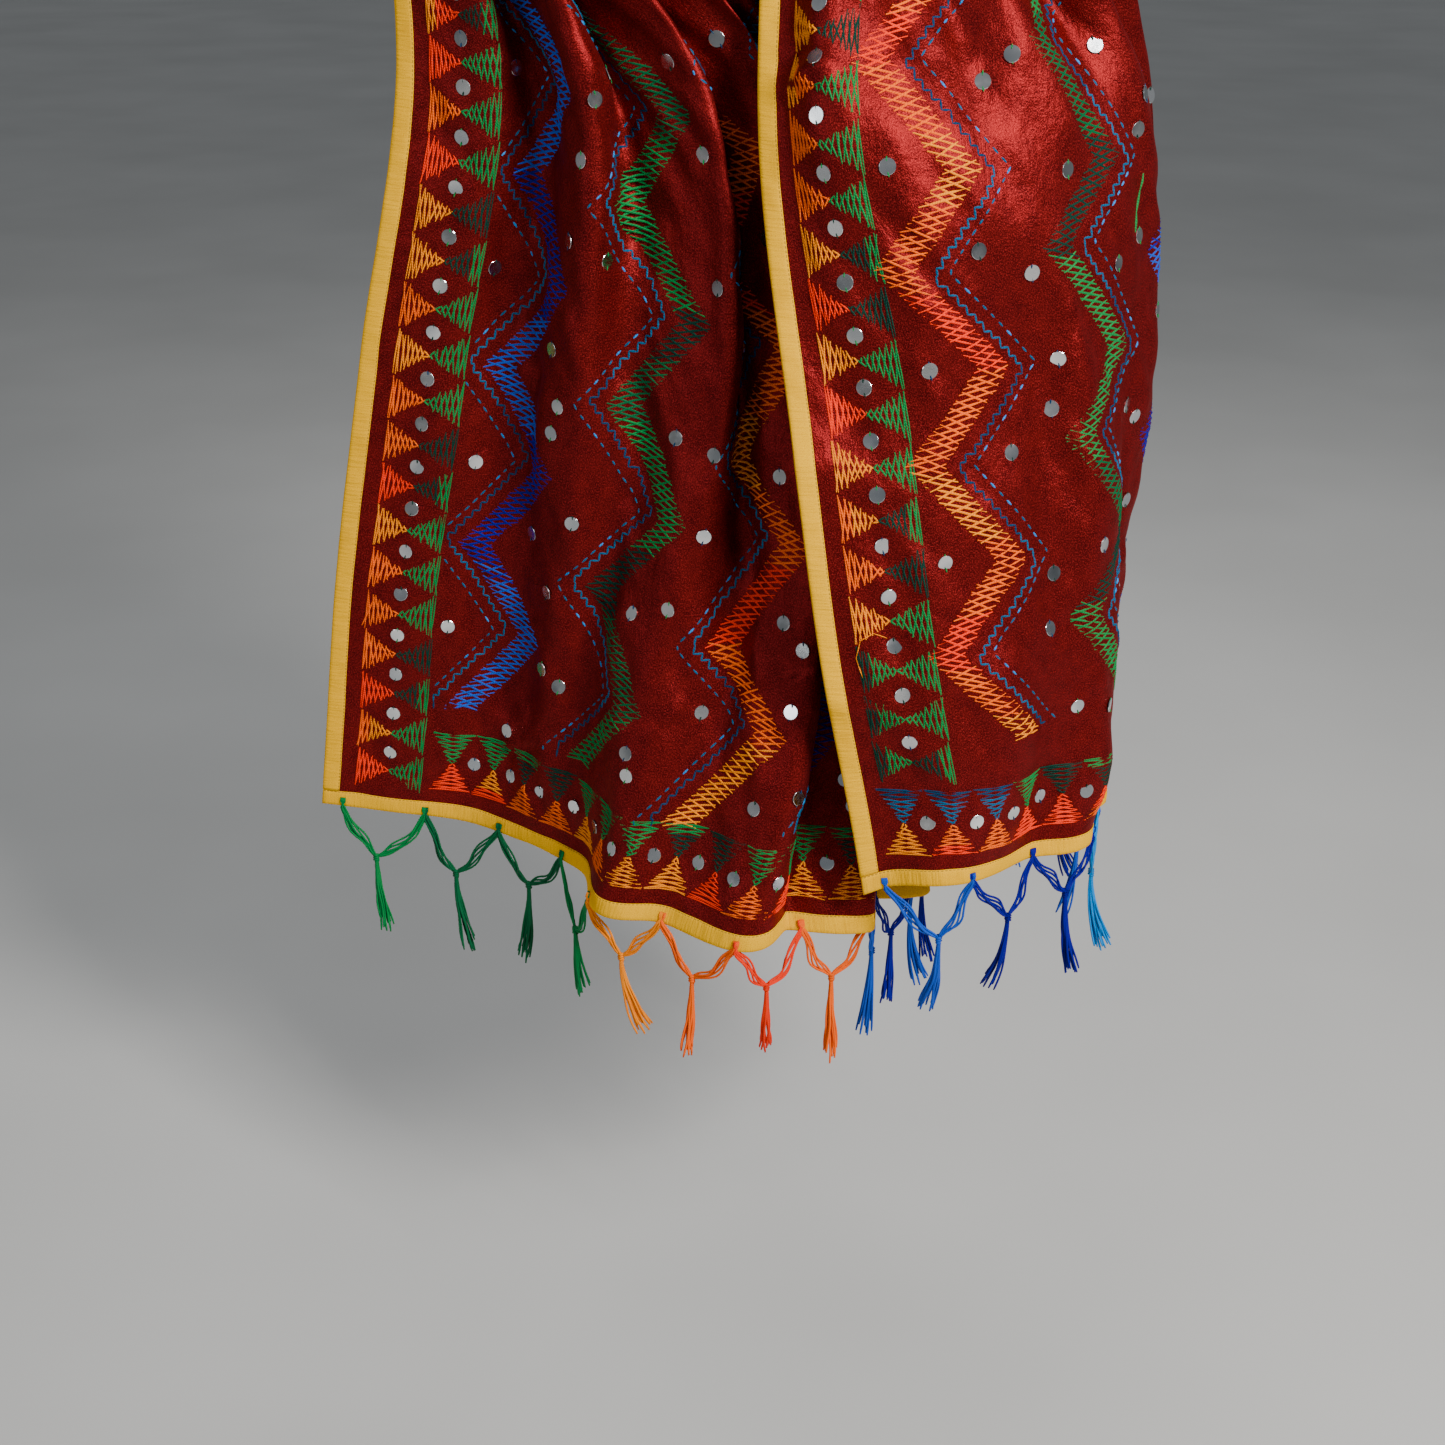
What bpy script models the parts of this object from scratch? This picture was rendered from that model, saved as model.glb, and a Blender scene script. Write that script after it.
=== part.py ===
"""Dupatta stole of satin with bound edges and tasselled hems, in the form in which it is worn.

The cloth passes behind the neck and over both shoulders, and both ends hang in front. Cloth
places are given by two distances on the flat cloth: across, from the outer long edge, and
along, from the hem of the left end. Metres, +Z up, the wearer faces -Y. The origin is at the
base of the neck, level with the tops of the shoulders.
"""
import math
from collections import namedtuple

import bmesh
import bpy
import numpy as np
from mathutils import Vector

# Cut and make of the cloth
CLOTH_WIDTH = 0.92
WALL = 0.0015
SEAM_GAP = 0.0003
SPLIT_GAP = 0.0006
EDGE_GAP = 0.0005
SPLIT_GUARD = 0.003
BINDING_WIDTH = 0.0145
BINDING_WALL = 0.0008
TAPE_END_GAP = 0.0009

# Grid of the walls
CELLS_ACROSS = 42
LEFT_STRETCH = 1.00
RIGHT_STRETCH = 0.70
END_STEP = 0.084
NECK_STEP = 0.047
FINE_LINES = 185
FINE_ROWS = 150

# Fringe
TASSELS_PER_HEM = 12
FIRST_ANCHOR = 0.018
LEG_LAP = 0.008
KNOT_DROP = 0.043
KNOT_RADIUS = 0.0042
KNOT_STRETCH = 1.4
TASSEL_LENGTH = 0.068
ENDS_PER_TASSEL = 5
YARN_RADIUS = 0.0016
LEG_RADIUS = 0.0017
LEG_SAG = 0.006
SAG_PLACE = 0.55
LEG_ASIDE = 0.0022
END_SPREAD = 0.0035
SPREAD_CHANGE = 0.0012
SWAY_REACH = 0.006
LENGTH_CHANGE = 0.07

# Directions in which the cloth's length runs, from the left hem to the right hem
UP = (0.0, 0.0, 1.0)
OVER_LEFT_SHOULDER = (0.0, 1.0, 0.35)
DOWN_LEFT_BACK = (0.75, 0.65, -0.2)
ACROSS_BACK = (1.0, 0.0, 0.0)
UP_RIGHT_BACK = (0.75, -0.65, 0.2)
OVER_RIGHT_SHOULDER = (0.0, -1.0, -0.35)
DOWN = (0.0, 0.0, -1.0)

# One row for each section of the cloth, from the left hem over the shoulders to the right hem.
# Each point is (across, x, y, z) and z is measured from the section's height.
Section = namedtuple("Section", "name way lean height points")
SECTIONS = [
    Section("left hem", UP, 0.35, -0.966, [
        (0.000, -0.315, -0.080, 0.000), (0.135, -0.180, -0.095, -0.014),
        (0.205, -0.120, -0.130, -0.017), (0.258, -0.085, -0.172, -0.020),
        (0.320, -0.058, -0.225, -0.024), (0.370, -0.020, -0.253, -0.026),
        (0.425, 0.030, -0.270, -0.028), (0.500, 0.100, -0.270, -0.028),
        (0.580, 0.150, -0.232, -0.027), (0.750, 0.218, -0.152, -0.022),
        (0.920, 0.272, -0.094, -0.018)]),
    Section("left end, lower part", UP, 0.4, -0.765, [
        (0.000, -0.285, -0.090, 0.000), (0.103, -0.184, -0.096, -0.010),
        (0.187, -0.106, -0.117, -0.016), (0.233, -0.080, -0.152, -0.020),
        (0.317, -0.018, -0.202, -0.024), (0.363, 0.024, -0.219, -0.025),
        (0.447, 0.094, -0.226, -0.026), (0.560, 0.142, -0.192, -0.025),
        (0.740, 0.196, -0.138, -0.021), (0.920, 0.244, -0.094, -0.018)]),
    Section("left end, upper part", UP, 0.6, -0.560, [
        (0.000, -0.245, -0.102, 0.000), (0.103, -0.146, -0.110, -0.008),
        (0.187, -0.082, -0.146, -0.012), (0.233, -0.042, -0.166, -0.015),
        (0.317, 0.028, -0.182, -0.018), (0.400, 0.080, -0.184, -0.020),
        (0.550, 0.120, -0.158, -0.020), (0.920, 0.196, -0.096, -0.016)]),
    Section("left end at the waist", UP, 0.8, -0.340, [
        (0.000, -0.194, -0.116, 0.000), (0.103, -0.108, -0.126, -0.006),
        (0.187, -0.066, -0.146, -0.009), (0.233, -0.036, -0.158, -0.012),
        (0.317, 0.014, -0.164, -0.014), (0.400, 0.044, -0.160, -0.015),
        (0.600, 0.078, -0.138, -0.015), (0.920, 0.122, -0.104, -0.012)]),
    Section("left side of the chest", (0.0, 0.12, 1.0), 1.2, -0.150, [
        (0.000, -0.186, -0.112, 0.000), (0.230, -0.142, -0.126, 0.000),
        (0.460, -0.099, -0.132, 0.000), (0.690, -0.056, -0.132, 0.000),
        (0.920, -0.014, -0.128, 0.000)]),
    Section("left collarbone", (0.0, 0.55, 1.0), 0.8, -0.030, [
        (0.000, -0.200, -0.052, -0.032), (0.300, -0.155, -0.062, -0.012),
        (0.600, -0.114, -0.066, 0.002), (0.920, -0.062, -0.062, 0.016)]),
    Section("left shoulder", OVER_LEFT_SHOULDER, 1.0, 0.012, [
        (0.000, -0.206, 0.004, -0.044), (0.300, -0.158, 0.004, -0.018),
        (0.600, -0.116, 0.004, 0.000), (0.920, -0.066, 0.004, 0.020)]),
    Section("left of the back", DOWN_LEFT_BACK, 1.5, 0.000, [
        (0.000, -0.150, 0.098, -0.138), (0.300, -0.120, 0.090, -0.074),
        (0.600, -0.090, 0.074, -0.020), (0.920, -0.058, 0.052, 0.030)]),
    Section("middle of the back", ACROSS_BACK, 1.3, 0.000, [
        (0.000, 0.000, 0.136, -0.236), (0.300, 0.000, 0.128, -0.146),
        (0.600, 0.000, 0.110, -0.058), (0.920, 0.000, 0.078, 0.030)]),
    Section("right of the back", UP_RIGHT_BACK, 1.2, 0.000, [
        (0.000, 0.154, 0.126, -0.216), (0.300, 0.126, 0.108, -0.112),
        (0.600, 0.096, 0.080, -0.024), (0.920, 0.058, 0.052, 0.030)]),
    Section("right shoulder", OVER_RIGHT_SHOULDER, 1.1, 0.012, [
        (0.000, 0.232, 0.098, -0.196), (0.300, 0.210, 0.040, -0.078),
        (0.600, 0.138, 0.008, -0.006), (0.920, 0.064, 0.004, 0.020)]),
    Section("right collarbone", (0.0, -0.7, -0.8), 0.9, -0.030, [
        (0.000, 0.268, 0.082, -0.168), (0.250, 0.266, 0.006, -0.084),
        (0.550, 0.170, -0.056, -0.012), (0.920, 0.062, -0.066, 0.016)]),
    Section("right side of the chest", (0.0, -0.12, -1.0), 0.6, -0.155, [
        (0.000, 0.256, 0.092, -0.090), (0.150, 0.290, 0.040, -0.060),
        (0.300, 0.291, -0.024, -0.025), (0.450, 0.252, -0.084, -0.010),
        (0.650, 0.176, -0.130, 0.000), (0.920, 0.058, -0.158, 0.000)]),
    Section("right end at the waist", DOWN, 0.2, -0.340, [
        (0.000, 0.172, 0.120, -0.020), (0.120, 0.228, 0.104, -0.020),
        (0.250, 0.292, 0.068, -0.018), (0.370, 0.330, 0.012, -0.016),
        (0.460, 0.350, -0.050, -0.012), (0.540, 0.346, -0.118, -0.010),
        (0.590, 0.322, -0.158, -0.008), (0.620, 0.300, -0.178, -0.006),
        (0.660, 0.268, -0.204, -0.005), (0.705, 0.230, -0.226, -0.004),
        (0.770, 0.169, -0.242, -0.003), (0.836, 0.107, -0.244, -0.001),
        (0.920, 0.051, -0.222, 0.000)]),
    Section("right end, upper part", DOWN, 0.1, -0.565, [
        (0.000, 0.134, 0.150, -0.026), (0.110, 0.204, 0.148, -0.026),
        (0.230, 0.290, 0.116, -0.024), (0.350, 0.346, 0.056, -0.020),
        (0.450, 0.366, -0.016, -0.016), (0.530, 0.372, -0.088, -0.012),
        (0.580, 0.364, -0.136, -0.010), (0.620, 0.347, -0.171, -0.008),
        (0.660, 0.323, -0.202, -0.006), (0.705, 0.293, -0.233, -0.005),
        (0.770, 0.234, -0.256, -0.003), (0.836, 0.170, -0.266, -0.001),
        (0.920, 0.088, -0.266, 0.000)]),
    Section("right end, lower part", DOWN, 0.0, -0.773, [
        (0.000, 0.090, 0.174, -0.030), (0.110, 0.170, 0.180, -0.030),
        (0.220, 0.250, 0.156, -0.028), (0.330, 0.314, 0.098, -0.024),
        (0.420, 0.344, 0.030, -0.020), (0.490, 0.356, -0.034, -0.016),
        (0.550, 0.362, -0.090, -0.013), (0.590, 0.362, -0.130, -0.010),
        (0.630, 0.357, -0.168, -0.008), (0.680, 0.339, -0.213, -0.006),
        (0.750, 0.293, -0.261, -0.004), (0.836, 0.204, -0.290, -0.001),
        (0.920, 0.119, -0.290, 0.000)]),
    Section("right hem", DOWN, 0.0, -0.928, [
        (0.000, 0.060, 0.186, -0.034), (0.100, 0.140, 0.186, -0.034),
        (0.190, 0.206, 0.152, -0.033), (0.280, 0.256, 0.092, -0.032),
        (0.350, 0.280, 0.036, -0.031), (0.410, 0.314, -0.008, -0.030),
        (0.462, 0.343, -0.036, -0.022), (0.520, 0.358, -0.088, -0.018),
        (0.595, 0.352, -0.156, -0.012), (0.665, 0.330, -0.220, -0.004),
        (0.750, 0.275, -0.272, -0.006), (0.830, 0.214, -0.300, 0.000),
        (0.920, 0.157, -0.312, -0.016)]),
]

# One row for each soft fold along the length: its middle and half width across the flat cloth,
# and how deep it is beside the others.
Fold = namedtuple("Fold", "middle half_width depth")
FOLDS = [
    Fold(0.062, 0.066, 0.70),
    Fold(0.190, 0.062, 1.00),
    Fold(0.318, 0.066, 0.90),
    Fold(0.446, 0.062, 1.05),
    Fold(0.556, 0.052, 1.00),
    Fold(0.662, 0.062, 0.90),
    Fold(0.815, 0.085, 0.50),
]
DEEPEST_FOLD = 0.09

# Colours of the photographed cloth, tape and yarn
CLOTH_RED = (0.21, 0.007, 0.009, 1.0)
TAPE_YELLOW = (0.80, 0.46, 0.03, 1.0)
YARN_GREEN = (0.013, 0.20, 0.045, 1.0)
YARN_ORANGE = (0.85, 0.18, 0.02, 1.0)
YARN_BLUE = (0.02, 0.10, 0.55, 1.0)


def smooth_through(stations, values, wanted):
    """Cubic curve through values at uneven stations, read at the wanted stations."""
    stations = np.asarray(stations, float)
    values = np.asarray(values, float).reshape(len(stations), -1)
    wanted = np.clip(np.asarray(wanted, float), stations[0], stations[-1])
    spans = np.diff(stations)[:, None]
    slopes = np.diff(values, axis=0) / spans
    tangents = np.vstack([slopes[:1], np.zeros((len(stations) - 2, values.shape[1])), slopes[-1:]])
    before, after = spans[:-1], spans[1:]
    tangents[1:-1] = (slopes[:-1] * after + slopes[1:] * before) / (before + after)
    cell = np.clip(np.searchsorted(stations, wanted, side="right") - 1, 0, len(spans) - 1)
    span = spans[cell]
    t = ((wanted - stations[cell])[:, None]) / span
    return ((2 * t**3 - 3 * t**2 + 1) * values[cell] + (t**3 - 2 * t**2 + t) * span * tangents[cell]
            + (3 * t**2 - 2 * t**3) * values[cell + 1] + (t**3 - t**2) * span * tangents[cell + 1])


def unit(vectors):
    """Vectors of length one."""
    return vectors / np.maximum(np.linalg.norm(vectors, axis=-1, keepdims=True), 1e-9)


def lengths_along(points):
    """Distance travelled at each point of a line."""
    steps = np.linalg.norm(np.diff(points, axis=0), axis=1)
    return np.concatenate([[0.0], np.cumsum(steps)])


def fold_wave(across):
    """Soft humps of the folds, from 0 in the valleys to about 1 on the ridges."""
    wave = np.zeros_like(across)
    for fold in FOLDS:
        reach = np.clip((across - fold.middle) / fold.half_width, -1.0, 1.0)
        wave += fold.depth * np.cos(reach * math.pi / 2) ** 2
    return wave


class Drape:
    """The worn cloth as a surface: rows of points that keep the cloth's width."""

    def __init__(self):
        self.across = np.linspace(0.0, CLOTH_WIDTH, FINE_LINES)
        self.bases = [self.base_of(section) for section in SECTIONS]
        steps = [np.linalg.norm(after - before, axis=1).mean()
                 for before, after in zip(self.bases, self.bases[1:])]
        self.stations = np.concatenate([[0.0], np.cumsum(steps)])
        self.ways = [unit(np.array(section.way)) for section in SECTIONS]
        self.leans = [section.lean for section in SECTIONS]
        self.wave = fold_wave(self.across)
        fine = np.linspace(0.0, self.stations[-1], FINE_ROWS)
        rows = np.array([self.row_at(station, self.across) for station in fine])
        steps = np.linalg.norm(np.diff(rows, axis=0), axis=2).mean(axis=1)
        self.fine = fine
        self.travelled = np.concatenate([[0.0], np.cumsum(steps)])
        self.length = self.travelled[-1]

    def base_of(self, section):
        """The section's line without its folds."""
        table = np.array(section.points)
        line = smooth_through(table[:, 0], table[:, 1:], self.across)
        line[:, 2] += section.height
        return line

    def row_at(self, station, wanted):
        """One line across the cloth, folded until it holds the cloth's whole width."""
        stack = np.array(self.bases).reshape(len(self.bases), -1)
        base = smooth_through(self.stations, stack, [station]).reshape(-1, 3)
        way = unit(smooth_through(self.stations, self.ways, [station])[0])
        lean = smooth_through(self.stations, self.leans, [station])[0, 0]
        tangent = unit(np.gradient(base, self.across, axis=0))
        out = unit(np.cross(tangent, way))
        taken_up = np.linalg.norm(np.gradient(base, self.across, axis=0), axis=1)
        slack = np.sqrt(np.clip(1.0 - taken_up**2, 0.0, 1.0))
        slack = np.convolve(np.pad(slack, 12, mode="edge"), np.ones(25) / 25, mode="valid")
        wave = (slack * (self.wave - 0.5))[:, None] * (out + lean * tangent)
        low, high = 0.0, DEEPEST_FOLD
        for _ in range(24):
            depth = (low + high) / 2
            if lengths_along(base + depth * wave)[-1] < CLOTH_WIDTH:
                low = depth
            else:
                high = depth
        line = base + depth * wave
        travelled = lengths_along(line)
        share = np.asarray(wanted) / CLOTH_WIDTH
        return np.stack([np.interp(share * travelled[-1], travelled, line[:, axis])
                         for axis in range(3)], axis=1)

    def row(self, along, wanted):
        """The line across the cloth at a distance along it."""
        station = np.interp(along, self.travelled, self.fine)
        return self.row_at(station, wanted)


def lines_across():
    """Grid lines across the cloth: both edges, both bindings' inner edges and even steps between."""
    edge = EDGE_GAP + BINDING_WALL
    inner = np.linspace(BINDING_WIDTH, CLOTH_WIDTH - BINDING_WIDTH, CELLS_ACROSS + 1)
    return np.concatenate([[edge], inner, [CLOTH_WIDTH - edge]])


def rows_along(length):
    """Grid rows along the cloth, closer together round the neck, and the row above each end."""
    edge = EDGE_GAP + BINDING_WALL
    left_rows = round((LEFT_STRETCH - BINDING_WIDTH) / END_STEP)
    right_rows = round((RIGHT_STRETCH - BINDING_WIDTH) / END_STEP)
    neck_rows = round((length - LEFT_STRETCH - RIGHT_STRETCH) / NECK_STEP)
    left = np.linspace(BINDING_WIDTH, LEFT_STRETCH, left_rows + 1)
    neck = np.linspace(LEFT_STRETCH, length - RIGHT_STRETCH, neck_rows + 1)
    right = length - np.linspace(BINDING_WIDTH, RIGHT_STRETCH, right_rows + 1)[::-1]
    rows = np.concatenate([[edge], left, neck[1:-1], right, [length - edge]])
    return rows, left_rows + 1, len(rows) - 2 - right_rows


def grid_faces(rows, lines):
    """Triangles of a grid of points, every cell cut from its first corner to its last."""
    faces = []
    for r in range(rows - 1):
        for c in range(lines - 1):
            first, last = r * lines + c, (r + 1) * lines + c + 1
            faces += [(first, first + 1, last), (first, last, last - 1)]
    return faces


def surface_mesh(name, grid):
    """Open mesh of a grid of points, its right side facing out."""
    rows, lines = grid.shape[:2]
    mesh = bpy.data.meshes.new(name)
    mesh.from_pydata([tuple(point) for point in grid.reshape(-1, 3)], [], grid_faces(rows, lines))
    return mesh


def surface_normals(grid):
    """Outward direction at each point of the grid."""
    mesh = surface_mesh("normals", grid)
    normals = np.array([tuple(corner.vector) for corner in mesh.vertex_normals])
    bpy.data.meshes.remove(mesh)
    return normals.reshape(grid.shape)


def add_material(name, colour, roughness, sheen):
    """Cloth or yarn material with a soft sheen."""
    material = bpy.data.materials.new(name)
    material.use_nodes = True
    shader = material.node_tree.nodes["Principled BSDF"]
    shader.inputs["Base Color"].default_value = colour
    shader.inputs["Roughness"].default_value = roughness
    shader.inputs["Metallic"].default_value = 0.0
    shader.inputs["Sheen Weight"].default_value = sheen
    return material


def add_object(name, mesh, collection, material):
    """An object of the collection with its own material, shaded smooth."""
    piece = bpy.data.objects.new(name, mesh)
    collection.objects.link(piece)
    mesh.materials.append(material)
    mesh.shade_smooth()
    mesh.set_sharp_from_angle(angle=math.radians(50))
    return piece


def add_wall(name, grid, collection, material):
    """A stretch of the cloth: an open surface given its thickness by Solidify."""
    piece = add_object(name, surface_mesh(name, grid), collection, material)
    thickness = piece.modifiers.new("Cloth thickness", "SOLIDIFY")
    thickness.thickness = WALL
    thickness.offset = 0.0
    return piece


def between(first, second, share):
    """Points part of the way from one line to the next, straight over the cells."""
    return first + (second - first) * share


def with_split_rows(grid, splits):
    """The grid with four more rows in the row of cells below each split."""
    parts = []
    start = 0
    for split in splits:
        parts.append(grid[start:split])
        height = np.linalg.norm(grid[split] - grid[split - 1], axis=1, keepdims=True)
        for reach in (-SPLIT_GUARD, -SPLIT_GAP / 2, SPLIT_GAP / 2, SPLIT_GUARD):
            parts.append([between(grid[split - 1], grid[split], 0.5 + reach / height)])
        start = split
    parts.append(grid[start:])
    return np.concatenate(parts)


def add_channel(name, edge, edge_out, inner, inner_out, edge_first, collection, material):
    """Tape folded round an edge: a loft of channel sections made from the wall's own points.

    Its triangles are cut like the wall's cells below them, so that they stay parallel. The
    wall's cells are cut from the edge where edge_first is true, and else towards it.
    """
    inside = WALL / 2 + SEAM_GAP
    outside = inside + BINDING_WALL
    along_edge = unit(np.gradient(edge, axis=0))
    into_cloth = inner - edge
    skew = np.sum(into_cloth * along_edge, axis=1, keepdims=True)
    into_cloth = unit(into_cloth - skew * along_edge)
    fold_inside = edge - into_cloth * EDGE_GAP
    fold = fold_inside - into_cloth * BINDING_WALL
    sections = np.stack([
        fold + edge_out * outside, inner + inner_out * outside,
        inner + inner_out * inside, fold_inside + edge_out * inside,
        fold_inside - edge_out * inside, inner - inner_out * inside,
        inner - inner_out * outside, fold - edge_out * outside], axis=1)
    shape = bmesh.new()
    loops = [[shape.verts.new(point) for point in section] for section in sections]
    for before, after in zip(loops, loops[1:]):
        for k, corner in enumerate(before):
            turn = (k + 1) % len(before)
            if (k in (0, 4)) == edge_first:
                shape.faces.new((corner, before[turn], after[turn]))
                shape.faces.new((corner, after[turn], after[k]))
            else:
                shape.faces.new((corner, before[turn], after[k]))
                shape.faces.new((before[turn], after[turn], after[k]))
    for ring in (loops[0], loops[-1]):
        for leg_or_web in ((0, 1, 2, 3), (0, 3, 4, 7), (4, 5, 6, 7)):
            shape.faces.new([ring[k] for k in leg_or_web])
    bmesh.ops.recalc_face_normals(shape, faces=shape.faces)
    mesh = bpy.data.meshes.new(name)
    shape.to_mesh(mesh)
    shape.free()
    return add_object(name, mesh, collection, material)


def add_side_binding(name, grid, out, edge, inner, collection, material):
    """Tape on a long edge, from just above one hem's tape to just below the other's."""
    lines = []
    for column in (grid[:, edge], out[:, edge], grid[:, inner], out[:, inner]):
        start = between(column[1], column[2], TAPE_END_GAP / END_STEP)
        end = between(column[-2], column[-3], TAPE_END_GAP / END_STEP)
        lines.append(np.concatenate([[start], column[2:-2], [end]]))
    return add_channel(name, *lines, edge == 0, collection, material)


def add_hem_binding(name, grid, out, edge, inner, collection, material):
    """Tape on a hem, over the whole width and round both corners."""
    lines = []
    for row, is_place in ((grid[edge], True), (out[edge], False),
                          (grid[inner], True), (out[inner], False)):
        row = row.copy()
        if is_place:
            past = EDGE_GAP + BINDING_WALL
            row[0] -= unit(row[1] - row[0]) * past
            row[-1] -= unit(row[-2] - row[-1]) * past
        lines.append(row)
    return add_channel(name, *lines, edge == 0, collection, material)


def pull_strand(shape, face, path, radius):
    """Extrude one face of a knot along a path, as a three-sided strand of yarn."""
    for place in path:
        face = bmesh.ops.extrude_discrete_faces(shape, faces=[face])["faces"][0]
        middle = face.calc_center_median()
        for corner in face.verts:
            corner.co = Vector(place) + (corner.co - middle).normalized() * radius


def add_tassel(name, legs, knot, sway, collection, material):
    """A knot with two legs up to the hem and five loose yarn ends below it."""
    shape = bmesh.new()
    bmesh.ops.create_uvsphere(shape, u_segments=ENDS_PER_TASSEL, v_segments=4, radius=KNOT_RADIUS)
    bmesh.ops.scale(shape, vec=(1.0, 1.0, KNOT_STRETCH), verts=shape.verts)
    bmesh.ops.translate(shape, vec=knot, verts=shape.verts)
    centre = Vector(knot)
    upper = [face for face in shape.faces if len(face.verts) == 3 and face.normal.z > 0]
    lower = [face for face in shape.faces if len(face.verts) == 3 and face.normal.z < 0]
    for top, below_hem in legs:
        toward = Vector(below_hem) - centre
        face = max(upper, key=lambda one: (one.calc_center_median() - centre).dot(
            Vector((toward.x, toward.y, 0.0))))
        upper.remove(face)
        root = face.calc_center_median()
        sagged = root.lerp(Vector(below_hem), SAG_PLACE) - Vector((0.0, 0.0, LEG_SAG))
        pull_strand(shape, face, (sagged, below_hem, top), LEG_RADIUS)
    for k, face in enumerate(lower):
        aside = face.calc_center_median() - centre
        aside.z = 0.0
        start = centre + aside - Vector((0.0, 0.0, KNOT_RADIUS * 3))
        spread = aside.normalized() * (END_SPREAD + SPREAD_CHANGE * math.sin(2.1 * k + sway * 9))
        lean = Vector((sway, 0.3 * sway, 0.0)) * SWAY_REACH
        middle = start + spread * 0.5 + lean * 0.5 - Vector((0.0, 0.0, TASSEL_LENGTH * 0.5))
        fall = TASSEL_LENGTH * (1.0 - LENGTH_CHANGE * math.cos(1.7 * k + sway * 5))
        end = centre + aside + spread + lean - Vector((0.0, 0.0, fall))
        pull_strand(shape, face, (start, middle, end), YARN_RADIUS)
    mesh = bpy.data.meshes.new(name)
    shape.to_mesh(mesh)
    shape.free()
    return add_object(name, mesh, collection, material)


def add_fringe(side, drape, hem_at, inward, colours, collection):
    """The tassels of one hem: each hangs between two places where its yarn is sewn on."""
    pitch = (CLOTH_WIDTH - 2 * FIRST_ANCHOR) / TASSELS_PER_HEM
    anchors = FIRST_ANCHOR + pitch * np.arange(TASSELS_PER_HEM + 1)
    lines = lines_across()
    edge, inner = (drape.row(hem_at + inward * depth, lines)
                   for depth in (EDGE_GAP + BINDING_WALL, BINDING_WIDTH))
    strip = np.array([edge, inner]) if inward > 0 else np.array([inner, edge])
    out = surface_normals(strip)[0 if inward > 0 else 1]
    lapped = between(edge, inner, LEG_LAP / BINDING_WIDTH)
    clear = WALL / 2 + BINDING_WALL + 2 * SEAM_GAP + LEG_RADIUS

    def on_hem(across, line):
        return np.array([np.interp(across, lines, line[:, axis]) for axis in range(3)])

    for k in range(TASSELS_PER_HEM):
        legs = []
        for anchor, toward in ((anchors[k], 1), (anchors[k + 1], -1)):
            across = anchor + toward * LEG_ASIDE
            stand_off = unit(on_hem(across, out)) * clear
            down = unit(on_hem(across, edge) - on_hem(across, inner))
            legs.append((on_hem(across, lapped) + stand_off,
                         on_hem(across, edge) + stand_off + down * LEG_LAP / 2))
        knot = (legs[0][1] + legs[1][1]) / 2
        knot[2] = min(on_hem(anchors[k], edge)[2], on_hem(anchors[k + 1], edge)[2]) - KNOT_DROP
        sway = math.sin(2.4 * k + 0.7)
        colour = colours[min(k * len(colours) // TASSELS_PER_HEM, len(colours) - 1)]
        add_tassel(f"tassel_{side}_{k + 1:02d}", legs, knot, sway, collection, colour)


def main():
    """Build the whole stole."""
    for old in list(bpy.data.objects):
        bpy.data.objects.remove(old, do_unlink=True)
    collection = bpy.data.collections.new("dupatta_stole")
    bpy.context.scene.collection.children.link(collection)

    drape = Drape()
    lines = lines_across()
    rows, left_split, right_split = rows_along(drape.length)
    grid = np.array([drape.row(along, lines) for along in rows])
    grid = with_split_rows(grid, (left_split, right_split + 1))
    out = surface_normals(grid)
    left_top = left_split + 2
    right_top = right_split + 7

    red = add_material("satin_red", CLOTH_RED, 0.38, 0.2)
    yellow = add_material("tape_yellow", TAPE_YELLOW, 0.75, 0.3)
    green = add_material("yarn_green", YARN_GREEN, 0.8, 0.4)
    orange = add_material("yarn_orange", YARN_ORANGE, 0.8, 0.4)
    blue = add_material("yarn_blue", YARN_BLUE, 0.8, 0.4)
    add_wall("stole_left_end", grid[:left_top], collection, red)
    add_wall("stole_neck", grid[left_top:right_top], collection, red)
    add_wall("stole_right_end", grid[right_top:], collection, red)
    add_side_binding("binding_outer_edge", grid, out, 0, 1, collection, yellow)
    add_side_binding("binding_inner_edge", grid, out, -1, -2, collection, yellow)
    add_hem_binding("hem_binding_left", grid, out, 0, 1, collection, yellow)
    add_hem_binding("hem_binding_right", grid, out, -1, -2, collection, yellow)
    add_fringe("left", drape, 0.0, 1.0, [green, orange, blue], collection)
    add_fringe("right", drape, drape.length, -1.0, [orange, blue, blue], collection)
    print("cloth length", drape.length)


main()
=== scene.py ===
"""Dressed dupatta stole: fine satin, tape, embroidery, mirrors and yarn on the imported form.

Cloth places are (across, along) on the flat cloth, in metres: across from the outer long edge,
along from the hem of the left end. The form's tables and its surface are the part's own.
"""

import math
from collections import namedtuple

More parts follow.
